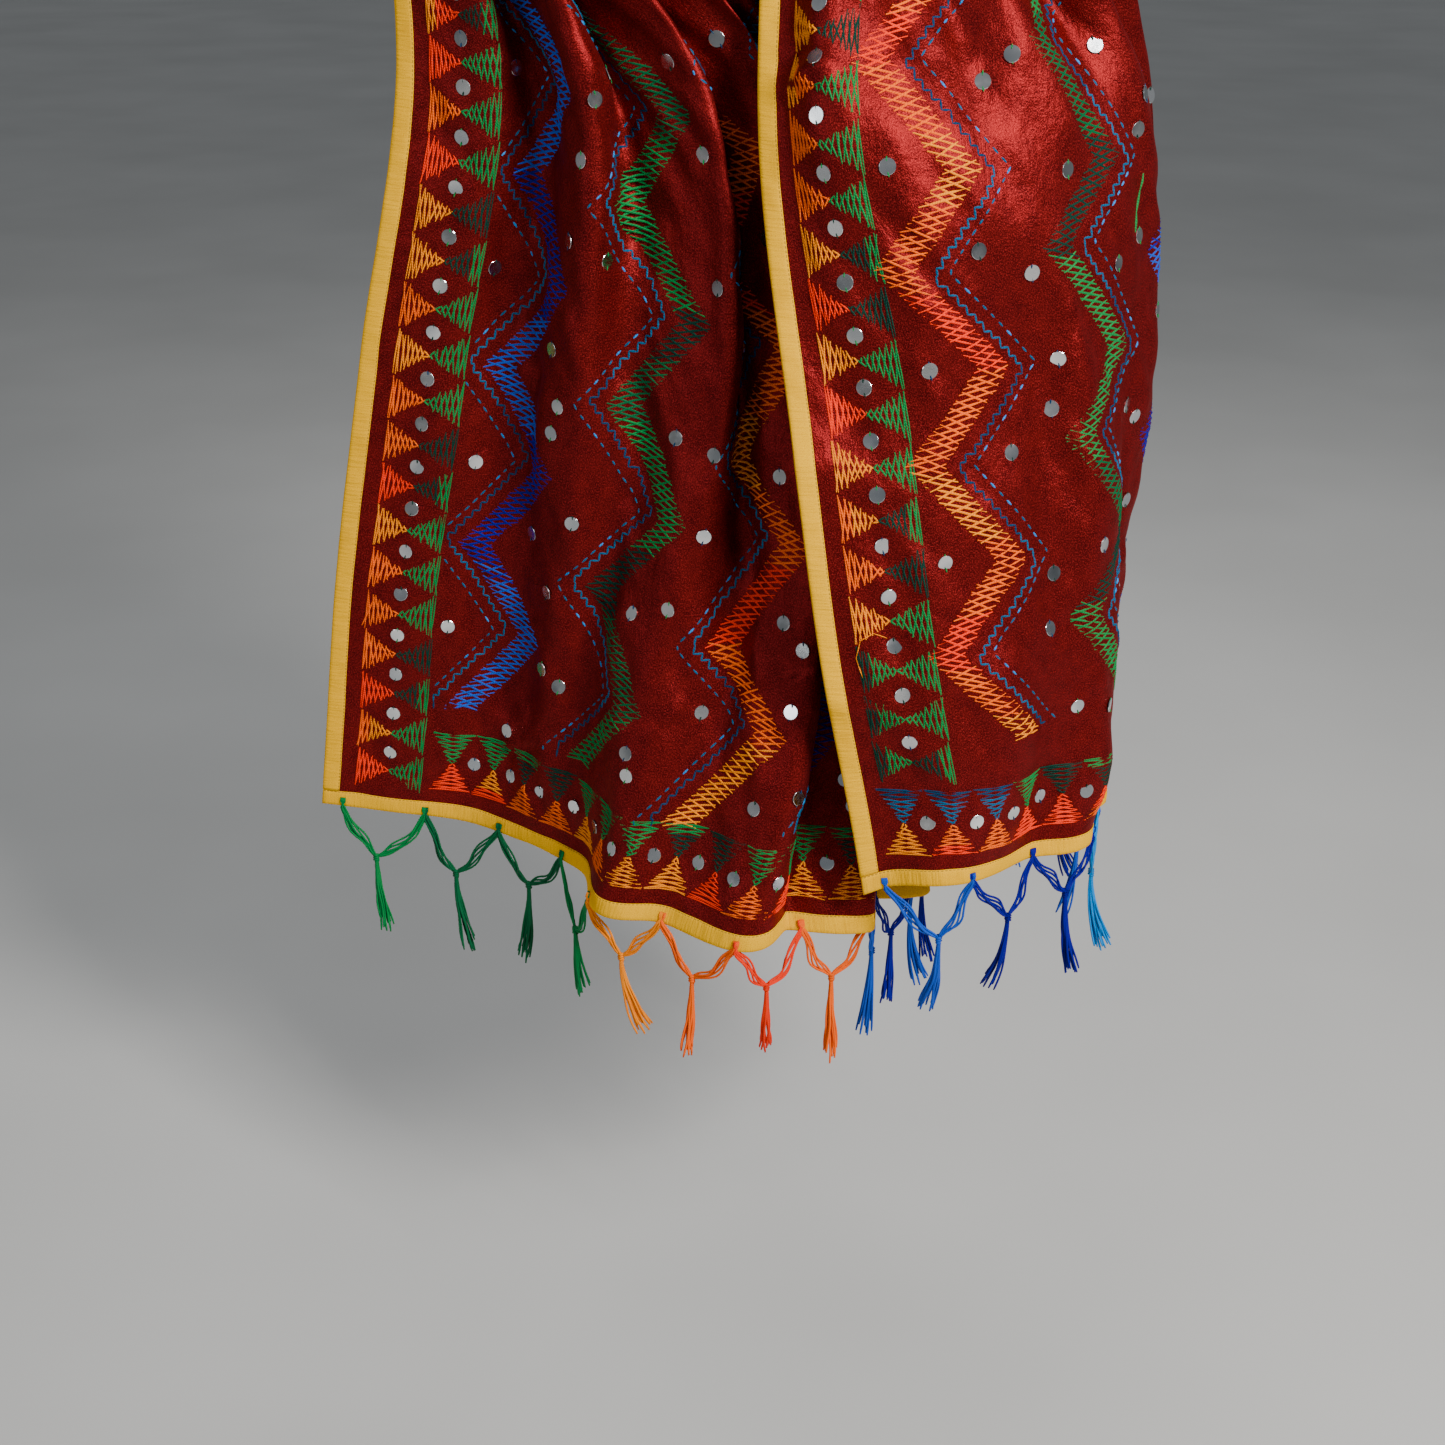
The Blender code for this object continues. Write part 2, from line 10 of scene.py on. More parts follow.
import bpy
import numpy as np
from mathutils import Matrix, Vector


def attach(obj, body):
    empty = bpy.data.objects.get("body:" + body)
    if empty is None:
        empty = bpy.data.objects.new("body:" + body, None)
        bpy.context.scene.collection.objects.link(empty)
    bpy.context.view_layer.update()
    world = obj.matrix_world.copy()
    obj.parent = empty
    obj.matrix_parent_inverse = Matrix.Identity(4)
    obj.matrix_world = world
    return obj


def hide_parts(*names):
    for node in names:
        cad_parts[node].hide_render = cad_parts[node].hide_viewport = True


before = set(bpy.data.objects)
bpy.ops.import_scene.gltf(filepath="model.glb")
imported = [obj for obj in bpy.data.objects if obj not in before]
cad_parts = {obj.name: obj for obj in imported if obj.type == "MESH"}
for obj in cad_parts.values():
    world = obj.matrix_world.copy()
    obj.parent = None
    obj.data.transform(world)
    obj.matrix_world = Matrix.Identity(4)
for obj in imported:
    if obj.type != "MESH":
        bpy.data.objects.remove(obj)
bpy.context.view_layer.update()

# Cut and make of the cloth
CLOTH_WIDTH = 0.92
LEFT_STRETCH = 1.00
RIGHT_STRETCH = 0.70
BINDING_WIDTH = 0.0145
FINE_LINES = 185
FINE_ROWS = 150

# Directions in which the cloth's length runs, from the left hem to the right hem
UP = (0.0, 0.0, 1.0)
OVER_LEFT_SHOULDER = (0.0, 1.0, 0.35)
DOWN_LEFT_BACK = (0.75, 0.65, -0.2)
ACROSS_BACK = (1.0, 0.0, 0.0)
UP_RIGHT_BACK = (0.75, -0.65, 0.2)
OVER_RIGHT_SHOULDER = (0.0, -1.0, -0.35)
DOWN = (0.0, 0.0, -1.0)

# One row for each section of the cloth, from the left hem over the shoulders to the right hem.
# Each point is (across, x, y, z) and z is measured from the section's height.
Section = namedtuple("Section", "name way lean height points")
SECTIONS = [
    Section("left hem", UP, 0.35, -0.966, [
        (0, -0.315, -0.08, 0), (0.135, -0.18, -0.095, -0.014), (0.205, -0.12, -0.13, -0.017),
        (0.258, -0.085, -0.172, -0.02), (0.32, -0.058, -0.225, -0.024), (0.37, -0.02, -0.253, -0.026),
        (0.425, 0.03, -0.27, -0.028), (0.5, 0.1, -0.27, -0.028), (0.58, 0.15, -0.232, -0.027),
        (0.75, 0.218, -0.152, -0.022), (0.92, 0.272, -0.094, -0.018)]),
    Section("left end, lower part", UP, 0.4, -0.765, [
        (0, -0.285, -0.09, 0), (0.103, -0.184, -0.096, -0.01), (0.187, -0.106, -0.117, -0.016),
        (0.233, -0.08, -0.152, -0.02), (0.317, -0.018, -0.202, -0.024), (0.363, 0.024, -0.219, -0.025),
        (0.447, 0.094, -0.226, -0.026), (0.56, 0.142, -0.192, -0.025), (0.74, 0.196, -0.138, -0.021),
        (0.92, 0.244, -0.094, -0.018)]),
    Section("left end, upper part", UP, 0.6, -0.56, [
        (0, -0.245, -0.102, 0), (0.103, -0.146, -0.11, -0.008), (0.187, -0.082, -0.146, -0.012),
        (0.233, -0.042, -0.166, -0.015), (0.317, 0.028, -0.182, -0.018), (0.4, 0.08, -0.184, -0.02),
        (0.55, 0.12, -0.158, -0.02), (0.92, 0.196, -0.096, -0.016)]),
    Section("left end at the waist", UP, 0.8, -0.34, [
        (0, -0.194, -0.116, 0), (0.103, -0.108, -0.126, -0.006), (0.187, -0.066, -0.146, -0.009),
        (0.233, -0.036, -0.158, -0.012), (0.317, 0.014, -0.164, -0.014), (0.4, 0.044, -0.16, -0.015),
        (0.6, 0.078, -0.138, -0.015), (0.92, 0.122, -0.104, -0.012)]),
    Section("left side of the chest", (0, 0.12, 1.0), 1.2, -0.15, [
        (0, -0.186, -0.112, 0), (0.23, -0.142, -0.126, 0), (0.46, -0.099, -0.132, 0),
        (0.69, -0.056, -0.132, 0), (0.92, -0.014, -0.128, 0)]),
    Section("left collarbone", (0, 0.55, 1.0), 0.8, -0.03, [
        (0, -0.2, -0.052, -0.032), (0.3, -0.155, -0.062, -0.012), (0.6, -0.114, -0.066, 0.002),
        (0.92, -0.062, -0.062, 0.016)]),
    Section("left shoulder", OVER_LEFT_SHOULDER, 1.0, 0.012, [
        (0, -0.206, 0.004, -0.044), (0.3, -0.158, 0.004, -0.018), (0.6, -0.116, 0.004, 0),
        (0.92, -0.066, 0.004, 0.02)]),
    Section("left of the back", DOWN_LEFT_BACK, 1.5, 0, [
        (0, -0.15, 0.098, -0.138), (0.3, -0.12, 0.09, -0.074), (0.6, -0.09, 0.074, -0.02),
        (0.92, -0.058, 0.052, 0.03)]),
    Section("middle of the back", ACROSS_BACK, 1.3, 0, [
        (0, 0, 0.136, -0.236), (0.3, 0, 0.128, -0.146), (0.6, 0, 0.11, -0.058), (0.92, 0, 0.078, 0.03)]),
    Section("right of the back", UP_RIGHT_BACK, 1.2, 0, [
        (0, 0.154, 0.126, -0.216), (0.3, 0.126, 0.108, -0.112), (0.6, 0.096, 0.08, -0.024),
        (0.92, 0.058, 0.052, 0.03)]),
    Section("right shoulder", OVER_RIGHT_SHOULDER, 1.1, 0.012, [
        (0, 0.232, 0.098, -0.196), (0.3, 0.21, 0.04, -0.078), (0.6, 0.138, 0.008, -0.006),
        (0.92, 0.064, 0.004, 0.02)]),
    Section("right collarbone", (0, -0.7, -0.8), 0.9, -0.03, [
        (0, 0.268, 0.082, -0.168), (0.25, 0.266, 0.006, -0.084), (0.55, 0.17, -0.056, -0.012),
        (0.92, 0.062, -0.066, 0.016)]),
    Section("right side of the chest", (0, -0.12, -1.0), 0.6, -0.155, [
        (0, 0.256, 0.092, -0.09), (0.15, 0.29, 0.04, -0.06), (0.3, 0.291, -0.024, -0.025),
        (0.45, 0.252, -0.084, -0.01), (0.65, 0.176, -0.13, 0), (0.92, 0.058, -0.158, 0)]),
    Section("right end at the waist", DOWN, 0.2, -0.34, [
        (0, 0.172, 0.12, -0.02), (0.12, 0.228, 0.104, -0.02), (0.25, 0.292, 0.068, -0.018),
        (0.37, 0.33, 0.012, -0.016), (0.46, 0.35, -0.05, -0.012), (0.54, 0.346, -0.118, -0.01),
        (0.59, 0.322, -0.158, -0.008), (0.62, 0.3, -0.178, -0.006), (0.66, 0.268, -0.204, -0.005),
        (0.705, 0.23, -0.226, -0.004), (0.77, 0.169, -0.242, -0.003), (0.836, 0.107, -0.244, -0.001),
        (0.92, 0.051, -0.222, 0)]),
    Section("right end, upper part", DOWN, 0.1, -0.565, [
        (0, 0.134, 0.15, -0.026), (0.11, 0.204, 0.148, -0.026), (0.23, 0.29, 0.116, -0.024),
        (0.35, 0.346, 0.056, -0.02), (0.45, 0.366, -0.016, -0.016), (0.53, 0.372, -0.088, -0.012),
        (0.58, 0.364, -0.136, -0.01), (0.62, 0.347, -0.171, -0.008), (0.66, 0.323, -0.202, -0.006),
        (0.705, 0.293, -0.233, -0.005), (0.77, 0.234, -0.256, -0.003), (0.836, 0.17, -0.266, -0.001),
        (0.92, 0.088, -0.266, 0)]),
    Section("right end, lower part", DOWN, 0, -0.773, [
        (0, 0.09, 0.174, -0.03), (0.11, 0.17, 0.18, -0.03), (0.22, 0.25, 0.156, -0.028),
        (0.33, 0.314, 0.098, -0.024), (0.42, 0.344, 0.03, -0.02), (0.49, 0.356, -0.034, -0.016),
        (0.55, 0.362, -0.09, -0.013), (0.59, 0.362, -0.13, -0.01), (0.63, 0.357, -0.168, -0.008),
        (0.68, 0.339, -0.213, -0.006), (0.75, 0.293, -0.261, -0.004), (0.836, 0.204, -0.29, -0.001),
        (0.92, 0.119, -0.29, 0)]),
    Section("right hem", DOWN, 0, -0.928, [
        (0, 0.06, 0.186, -0.034), (0.1, 0.14, 0.186, -0.034), (0.19, 0.206, 0.152, -0.033),
        (0.28, 0.256, 0.092, -0.032), (0.35, 0.28, 0.036, -0.031), (0.41, 0.314, -0.008, -0.03),
        (0.462, 0.343, -0.036, -0.022), (0.52, 0.358, -0.088, -0.018), (0.595, 0.352, -0.156, -0.012),
        (0.665, 0.33, -0.22, -0.004), (0.75, 0.275, -0.272, -0.006), (0.83, 0.214, -0.3, 0),
        (0.92, 0.157, -0.312, -0.016)]),
]

# One row for each soft fold along the length: its middle and half width across the flat cloth,
# and how deep it is beside the others.
Fold = namedtuple("Fold", "middle half_width depth")
FOLDS = [
    Fold(0.062, 0.066, 0.70),
    Fold(0.190, 0.062, 1.00),
    Fold(0.318, 0.066, 0.90),
    Fold(0.446, 0.062, 1.05),
    Fold(0.556, 0.052, 1.00),
    Fold(0.662, 0.062, 0.90),
    Fold(0.815, 0.085, 0.50),
]
WAVE_MIDDLE = 0.5
DEEPEST_FOLD = 0.09
HALVINGS = 24
SLACK_REACH = 12


def smooth_through(stations, values, wanted):
    """Cubic curve through values at uneven stations, read at the wanted stations."""
    stations = np.asarray(stations, float)
    values = np.asarray(values, float).reshape(len(stations), -1)
    wanted = np.clip(np.asarray(wanted, float), stations[0], stations[-1])
    spans = np.diff(stations)[:, None]
    slopes = np.diff(values, axis=0) / spans
    tangents = np.vstack([slopes[:1], np.zeros((len(stations) - 2, values.shape[1])), slopes[-1:]])
    before, after = spans[:-1], spans[1:]
    tangents[1:-1] = (slopes[:-1] * after + slopes[1:] * before) / (before + after)
    cell = np.clip(np.searchsorted(stations, wanted, side="right") - 1, 0, len(spans) - 1)
    span = spans[cell]
    t = ((wanted - stations[cell])[:, None]) / span
    return ((2 * t**3 - 3 * t**2 + 1) * values[cell] + (t**3 - 2 * t**2 + t) * span * tangents[cell]
            + (3 * t**2 - 2 * t**3) * values[cell + 1] + (t**3 - t**2) * span * tangents[cell + 1])


def unit(vectors):
    """Vectors of length one."""
    return vectors / np.maximum(np.linalg.norm(vectors, axis=-1, keepdims=True), 1e-9)


def lengths_along(points):
    """Distance travelled at each point of a line."""
    steps = np.linalg.norm(np.diff(points, axis=0), axis=1)
    return np.concatenate([[0.0], np.cumsum(steps)])


def fold_wave(across):
    """Soft humps of the folds, from 0 in the valleys to about 1 on the ridges."""
    wave = np.zeros_like(across)
    for fold in FOLDS:
        reach = np.clip((across - fold.middle) / fold.half_width, -1.0, 1.0)
        wave += fold.depth * np.cos(reach * math.pi / 2) ** 2
    return wave


class Drape:
    """The worn cloth as a surface: rows of points that keep the cloth's width."""

    def __init__(self):
        self.across = np.linspace(0.0, CLOTH_WIDTH, FINE_LINES)
        self.bases = [self.base_of(section) for section in SECTIONS]
        steps = [np.linalg.norm(after - before, axis=1).mean()
                 for before, after in zip(self.bases, self.bases[1:])]
        self.stations = np.concatenate([[0.0], np.cumsum(steps)])
        self.ways = [unit(np.array(section.way)) for section in SECTIONS]
        self.leans = [section.lean for section in SECTIONS]
        self.wave = fold_wave(self.across)
        fine = np.linspace(0.0, self.stations[-1], FINE_ROWS)
        rows = np.array([self.row_at(station, self.across) for station in fine])
        steps = np.linalg.norm(np.diff(rows, axis=0), axis=2).mean(axis=1)
        self.fine = fine
        self.travelled = np.concatenate([[0.0], np.cumsum(steps)])
        self.length = self.travelled[-1]

    def base_of(self, section):
        """The section's line without its folds."""
        table = np.array(section.points)
        line = smooth_through(table[:, 0], table[:, 1:], self.across)
        line[:, 2] += section.height
        return line

    def row_at(self, station, wanted):
        """One line across the cloth, folded until it holds the cloth's whole width."""
        stack = np.array(self.bases).reshape(len(self.bases), -1)
        base = smooth_through(self.stations, stack, [station]).reshape(-1, 3)
        way = unit(smooth_through(self.stations, self.ways, [station])[0])
        lean = smooth_through(self.stations, self.leans, [station])[0, 0]
        tangent = unit(np.gradient(base, self.across, axis=0))
        out = unit(np.cross(tangent, way))
        taken_up = np.linalg.norm(np.gradient(base, self.across, axis=0), axis=1)
        slack = np.sqrt(np.clip(1.0 - taken_up**2, 0.0, 1.0))
        window = np.ones(2 * SLACK_REACH + 1) / (2 * SLACK_REACH + 1)
        slack = np.convolve(np.pad(slack, SLACK_REACH, mode="edge"), window, mode="valid")
        wave = (slack * (self.wave - WAVE_MIDDLE))[:, None] * (out + lean * tangent)
        low, high = 0.0, DEEPEST_FOLD
        for _ in range(HALVINGS):
            depth = (low + high) / 2
            if lengths_along(base + depth * wave)[-1] < CLOTH_WIDTH:
                low = depth
            else:
                high = depth
        line = base + depth * wave
        travelled = lengths_along(line)
        share = np.asarray(wanted) / CLOTH_WIDTH
        return np.stack([np.interp(share * travelled[-1], travelled, line[:, axis])
                         for axis in range(3)], axis=1)

    def row(self, along, wanted):
        """The line across the cloth at a distance along it."""
        station = np.interp(along, self.travelled, self.fine)
        return self.row_at(station, wanted)


# Grid and thickness of the fine cloth
CELLS_ACROSS = 184
CELLS_ALONG = 512
CLOTH_HALF = 0.0004
FINE_STEP = 0.0035

# Creases: where each starts and ends on the flat cloth, its half width and height
Crease = namedtuple("Crease", "start end half_width height")
CREASES = [
    Crease((0.838, 2.56), (0.806, 1.90), 0.017, 0.0080),
    Crease((0.735, 2.56), (0.728, 1.90), 0.018, -0.0075),
    Crease((0.690, 2.56), (0.686, 1.95), 0.014, 0.0070),
    Crease((0.560, 2.56), (0.600, 2.05), 0.016, 0.0050),
    Crease((0.440, 2.56), (0.500, 2.10), 0.018, -0.0050),
    Crease((0.300, 2.56), (0.360, 1.95), 0.020, 0.0060),
    Crease((0.130, 2.56), (0.180, 1.95), 0.018, -0.0050),
    Crease((0.926, 1.945), (0.845, 1.925), 0.006, 0.0060),
    Crease((0.926, 1.925), (0.850, 1.910), 0.007, -0.0060),
    Crease((0.060, 0.02), (0.085, 0.80), 0.015, 0.0045),
    Crease((0.150, 0.02), (0.150, 0.90), 0.014, -0.0060),
    Crease((0.215, 0.10), (0.200, 0.95), 0.013, 0.0065),
    Crease((0.265, 0.10), (0.240, 0.95), 0.012, -0.0055),
    Crease((0.340, 0.02), (0.320, 0.70), 0.014, -0.0050),
    Crease((0.410, 0.02), (0.395, 0.80), 0.013, 0.0065),
    Crease((0.480, 0.02), (0.470, 0.90), 0.013, -0.0060),
    Crease((0.640, 0.02), (0.620, 0.90), 0.015, 0.0050),
    Crease((0.780, 0.02), (0.760, 0.90), 0.015, -0.0050),
    Crease((0.120, 1.05), (0.170, 1.75), 0.014, 0.0050),
    Crease((0.380, 1.02), (0.390, 1.80), 0.012, -0.0040),
    Crease((0.520, 1.00), (0.500, 1.80), 0.012, 0.0040),
    Crease((0.650, 1.05), (0.640, 1.75), 0.012, -0.0040),
]
CREASE_SWAY = 0.006
CREASE_TURNS = 7.0

# Small wrinkles: how high each kind stands and the size of its patches on the flat cloth
Pucker = namedtuple("Pucker", "height patch")
TIGHT = Pucker(0.0019, (0.011, 0.017))
TIGHT_GROUPS = (0.05, 0.06)
LOOSE = Pucker(0.0034, (0.034, 0.075))
SLANTED = Pucker(0.0024, (0.018, 0.060))
SLANT = 0.5

# Creases and wrinkles fade to a share of their height within a distance of the cloth's edges
FADE_REACH = 0.04
EDGE_SHARE = 0.15
PATCHES = 600


def patchy(places, scale, seed):
    """Smooth random values from -1 to 1 over the flat cloth, with one patch in each scale."""
    spread = np.random.default_rng(seed).uniform(-1.0, 1.0, (PATCHES, PATCHES))
    place = places / np.asarray(scale)
    cell = np.floor(place).astype(int)
    t = place - cell
    t = t * t * (3 - 2 * t)
    across, along = cell[..., 0] % (PATCHES - 1), cell[..., 1] % (PATCHES - 1)
    low = spread[across, along] * (1 - t[..., 0]) + spread[across + 1, along] * t[..., 0]
    high = spread[across, along + 1] * (1 - t[..., 0]) + spread[across + 1, along + 1] * t[..., 0]
    return low * (1 - t[..., 1]) + high * t[..., 1]


def crease_height(places):
    """Height of the soft creases at places on the flat cloth."""
    height = np.zeros(places.shape[:-1])
    for crease in CREASES:
        start, end = np.array(crease.start), np.array(crease.end)
        along = end - start
        length = np.linalg.norm(along)
        share = np.clip(((places - start) @ along) / length**2, 0.0, 1.0)
        sway = CREASE_SWAY * np.sin(share * CREASE_TURNS + crease.half_width * 900)
        beside = np.array([along[1], -along[0]]) / length
        off = ((places - start) @ beside - sway) / crease.half_width
        fade = np.sin(np.clip(share * 1.15 + 0.05, 0, 1) * math.pi / 2) * (1 - share**3)
        height += crease.height * np.exp(-off**2) * fade
    return height


def pucker_height(places):
    """Height of the small wrinkles that the stitches pull into the satin."""
    tight = patchy(places, TIGHT.patch, 4) * patchy(places, TIGHT_GROUPS, 5)
    loose = patchy(places, LOOSE.patch, 6)
    turned = np.stack([places[..., 0] + SLANT * places[..., 1],
                       places[..., 1] - SLANT * places[..., 0]], axis=-1)
    slanted = patchy(turned, SLANTED.patch, 7)
    return TIGHT.height * tight + LOOSE.height * loose + SLANTED.height * slanted


def layout(across, along):
    """Pairs of flat places from two arrays that spread over each other."""
    return np.stack(np.broadcast_arrays(across, along), axis=-1)


def grid_normals(grid):
    """Outward direction at each point of a grid of points."""
    return unit(np.cross(np.gradient(grid, axis=1), np.gradient(grid, axis=0)))


class Cloth:
    """The fine cloth: the part's drape with its creases and puckers, read at any place."""

    def __init__(self):
        drape = Drape()
        self.length = drape.length
        self.across = np.linspace(0.0, CLOTH_WIDTH, CELLS_ACROSS + 1)
        self.along = np.linspace(0.0, self.length, CELLS_ALONG + 1)
        grid = np.array([drape.row(along, self.across) for along in self.along])
        places = layout(self.across[None, :], self.along[:, None])
        inset = np.minimum.reduce([places[..., 0], CLOTH_WIDTH - places[..., 0],
                                   places[..., 1], self.length - places[..., 1]])
        free = np.clip(inset / FADE_REACH, EDGE_SHARE, 1.0)
        height = (crease_height(places) + pucker_height(places)) * free
        self.points = grid + grid_normals(grid) * height[..., None]
        self.normals = grid_normals(self.points)
        self.places = places

    def read(self, across, along):
        """Points and outward directions at places on the flat cloth."""
        column = np.clip(np.asarray(across) / CLOTH_WIDTH * CELLS_ACROSS, 0, CELLS_ACROSS - 1e-6)
        row = np.clip(np.asarray(along) / self.length * CELLS_ALONG, 0, CELLS_ALONG - 1e-6)
        c, r = column.astype(int), row.astype(int)
        s, t = (column - c)[..., None], (row - r)[..., None]
        found = []
        for table in (self.points, self.normals):
            low = table[r, c] * (1 - s) + table[r, c + 1] * s
            high = table[r + 1, c] * (1 - s) + table[r + 1, c + 1] * s
            found.append(low * (1 - t) + high * t)
        return found[0], unit(found[1])


def add_piece(name, points, faces, normals=None, marks=None, materials=(), chosen=None):
    """A smooth mesh that rides on the root body, with a flat layout in metres as its UV map."""
    mesh = bpy.data.meshes.new(name)
    mesh.from_pydata(points.reshape(-1, 3).tolist(), [], faces)
    for material in materials:
        mesh.materials.append(material)
    if chosen is not None:
        mesh.polygons.foreach_set("material_index", np.asarray(chosen, dtype=np.int32))
    mesh.shade_smooth()
    if marks is not None:
        corners = np.empty(len(mesh.loops), dtype=np.int32)
        mesh.loops.foreach_get("vertex_index", corners)
        layout = mesh.uv_layers.new(name="flat")
        layout.data.foreach_set("uv", marks.reshape(-1, 2)[corners].ravel().astype(np.float32))
    if normals is not None:
        mesh.normals_split_custom_set_from_vertices(normals.reshape(-1, 3).tolist())
    piece = bpy.data.objects.new(name, mesh)
    bpy.context.scene.collection.objects.link(piece)
    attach(piece, "root")
    return piece


def grid_quads(rows, columns, start=0, flipped=False):
    """Faces of a grid of points whose first point has the index start."""
    index = start + np.arange(rows * columns).reshape(rows, columns)
    corners = [index[:-1, :-1], index[:-1, 1:], index[1:, 1:], index[1:, :-1]]
    if flipped:
        corners.reverse()
    return np.stack([corner.ravel() for corner in corners], axis=1).tolist()


def add_cloth(name, cloth, first, last, material):
    """One stretch of the cloth between two rows of its grid: both faces and its rims."""
    rows = slice(first, last + 1)
    points, out, places = cloth.points[rows], cloth.normals[rows], cloth.places[rows]
    both = np.concatenate([points + out * CLOTH_HALF, points - out * CLOTH_HALF])
    count, width = points.shape[:2]
    faces = grid_quads(count, width)
    faces += grid_quads(count, width, count * width, True)
    behind = count * width
    index = np.arange(behind).reshape(count, width)
    for low, high in ((index[:-1, 0], index[1:, 0]), (index[1:, -1], index[:-1, -1]),
                      (index[0, 1:], index[0, :-1]), (index[-1, :-1], index[-1, 1:])):
        faces += np.stack([low, high, high + behind, low + behind], axis=1).tolist()
    return add_piece(name, both, faces, np.concatenate([out, -out]),
                     np.concatenate([places, places]), [material])


# Tape's section from its inner edge round the cloth's edge: share of the width, height over the
# cloth and share of the wrinkles. The far face mirrors it.
TAPE_FACE = [(1.0, 0.0006, 0.0), (0.97, 0.0011, 0.2), (0.80, 0.0013, 1.0), (0.50, 0.0015, 1.0),
             (0.20, 0.0014, 0.6), (0.02, 0.0011, 0.2), (-0.045, 0.0, 0.0)]
TAPE_SECTION = TAPE_FACE + [(share, -off, puff) for share, off, puff in TAPE_FACE[-2::-1]]
TAPE_ROUND = 2.2 * BINDING_WIDTH
SEWN_INSIDE = 0.0030
FINE_WRINKLE = 0.00025
BROAD_WRINKLE = 0.0002


def add_tape(name, cloth, edge_places, inner_places, material):
    """Tape folded round an edge of the cloth, a little puffed, with its ends closed."""
    edge, edge_out = cloth.read(*edge_places)
    inner, inner_out = cloth.read(*inner_places)
    into = unit(inner - edge)
    count = len(edge)
    travelled = lengths_along(edge)
    wrinkle = FINE_WRINKLE * np.sin(travelled / 0.0031 + 2.5 * np.sin(travelled / 0.023))
    wrinkle += BROAD_WRINKLE * np.sin(travelled / 0.0075 + 1.0)
    lines = []
    for share, off, puff in TAPE_SECTION:
        reach = np.clip(share, 0.0, 1.0)
        place = edge + (inner - edge) * reach + into * BINDING_WIDTH * min(share, 0.0)
        out = unit(edge_out + (inner_out - edge_out) * reach)
        lines.append(place + out * (off + np.sign(off) * puff * wrinkle)[:, None])
    section = np.stack(lines, axis=1)
    width = len(TAPE_SECTION)
    marks = layout(np.linspace(0.0, TAPE_ROUND, width)[None, :], travelled[:, None])
    faces = grid_quads(count, width, 0, True)
    end = (count - 1) * width
    faces.append(list(range(width)))
    faces.append(list(range(end, end + width))[::-1])
    return add_piece(name, section, faces, None, marks, [material])


# Stitches: the shortest that is made, the share of the cloth's half thickness at which its foot
# stands, the sides of its flat layout and how far the next stitch's layout is moved on
SHORTEST_STITCH = 0.0004
FOOT_SHARE = 0.8
FLAT_SIDES = np.array([-1.0, 0.0, 1.0]) * 0.0004
NEXT_STITCH = 0.037


class Stitches:
    """Straight stitches collected by their places on the cloth, then made as one mesh."""

    def __init__(self):
        self.rows = []

    def add(self, start, end, colour, width, height, lift=0.0):
        """Stitches from start to end, arrays of (across, along), in one colour or one each."""
        start, end = np.atleast_2d(start), np.atleast_2d(end)
        sizes = np.tile([width, height, lift], (len(start), 1))
        colours = np.broadcast_to(np.asarray(colour, float), (len(start),))[:, None]
        self.rows.append(np.concatenate([start, end, sizes, colours], axis=1))

    def make(self, name, cloth, materials, steps=4):
        """One mesh with a low three-sided strand for each stitch."""
        table = np.concatenate(self.rows)
        lengths = np.linalg.norm(table[:, 2:4] - table[:, 0:2], axis=1)
        table, lengths = table[lengths > SHORTEST_STITCH], lengths[lengths > SHORTEST_STITCH]
        share = np.linspace(0.0, 1.0, steps)
        shape = np.sin(math.pi * (0.08 + 0.84 * share)) ** 0.5
        place = table[:, None, 0:2] + (table[:, None, 2:4] - table[:, None, 0:2]) * share[None, :, None]
        points, out = cloth.read(place[..., 0], place[..., 1])
        run = unit(np.gradient(points, axis=1))
        side = unit(np.cross(out, run))
        half = table[:, 4, None, None] / 2 * shape[None, :, None]
        rise = table[:, 5, None, None] * shape[None, :, None]
        foot = out * (CLOTH_HALF * FOOT_SHARE + table[:, 6, None, None])
        ring = np.stack([points + foot - side * half, points + foot + out * rise,
                         points + foot + side * half], axis=2)
        count = len(table)
        index = np.arange(count * steps * 3).reshape(count, steps, 3)
        quads = [np.stack([index[:, :-1, k], index[:, 1:, k], index[:, 1:, k + 1],
                           index[:, :-1, k + 1]], axis=-1).reshape(-1, 4) for k in (0, 1)]
        faces = np.concatenate(quads)
        owner = np.tile(np.repeat(np.arange(count), steps - 1), 2)
        moved = np.arange(count)[:, None, None] * NEXT_STITCH
        marks = layout(FLAT_SIDES[None, None, :], lengths[:, None, None] * share[None, :, None] + moved)
        piece = add_piece(name, ring, faces.tolist(), None, marks, materials,
                          table[owner, 7].astype(int))


# Thread and yarn colours, in the order of their material slots
Colour = namedtuple("Colour", "name shade")
THREADS = [
    Colour("red_orange", (1.0, 0.03, 0.0)),
    Colour("orange", (1.0, 0.13, 0.0)),
    Colour("yellow_orange", (1.0, 0.27, 0.0)),
    Colour("green", (0.0, 0.22, 0.05)),
    Colour("mid_green", (0.0, 0.11, 0.036)),
    Colour("dark_green", (0.0, 0.036, 0.024)),
    Colour("blue", (0.01, 0.08, 0.52)),
    Colour("indigo", (0.006, 0.0, 0.26)),
    Colour("teal", (0.0, 0.1, 0.22)),
    Colour("dark_teal", (0.0, 0.04, 0.11)),
    Colour("light_blue", (0.0, 0.24, 0.66)),
]
NUMBER = {colour.name: k for k, colour in enumerate(THREADS)}

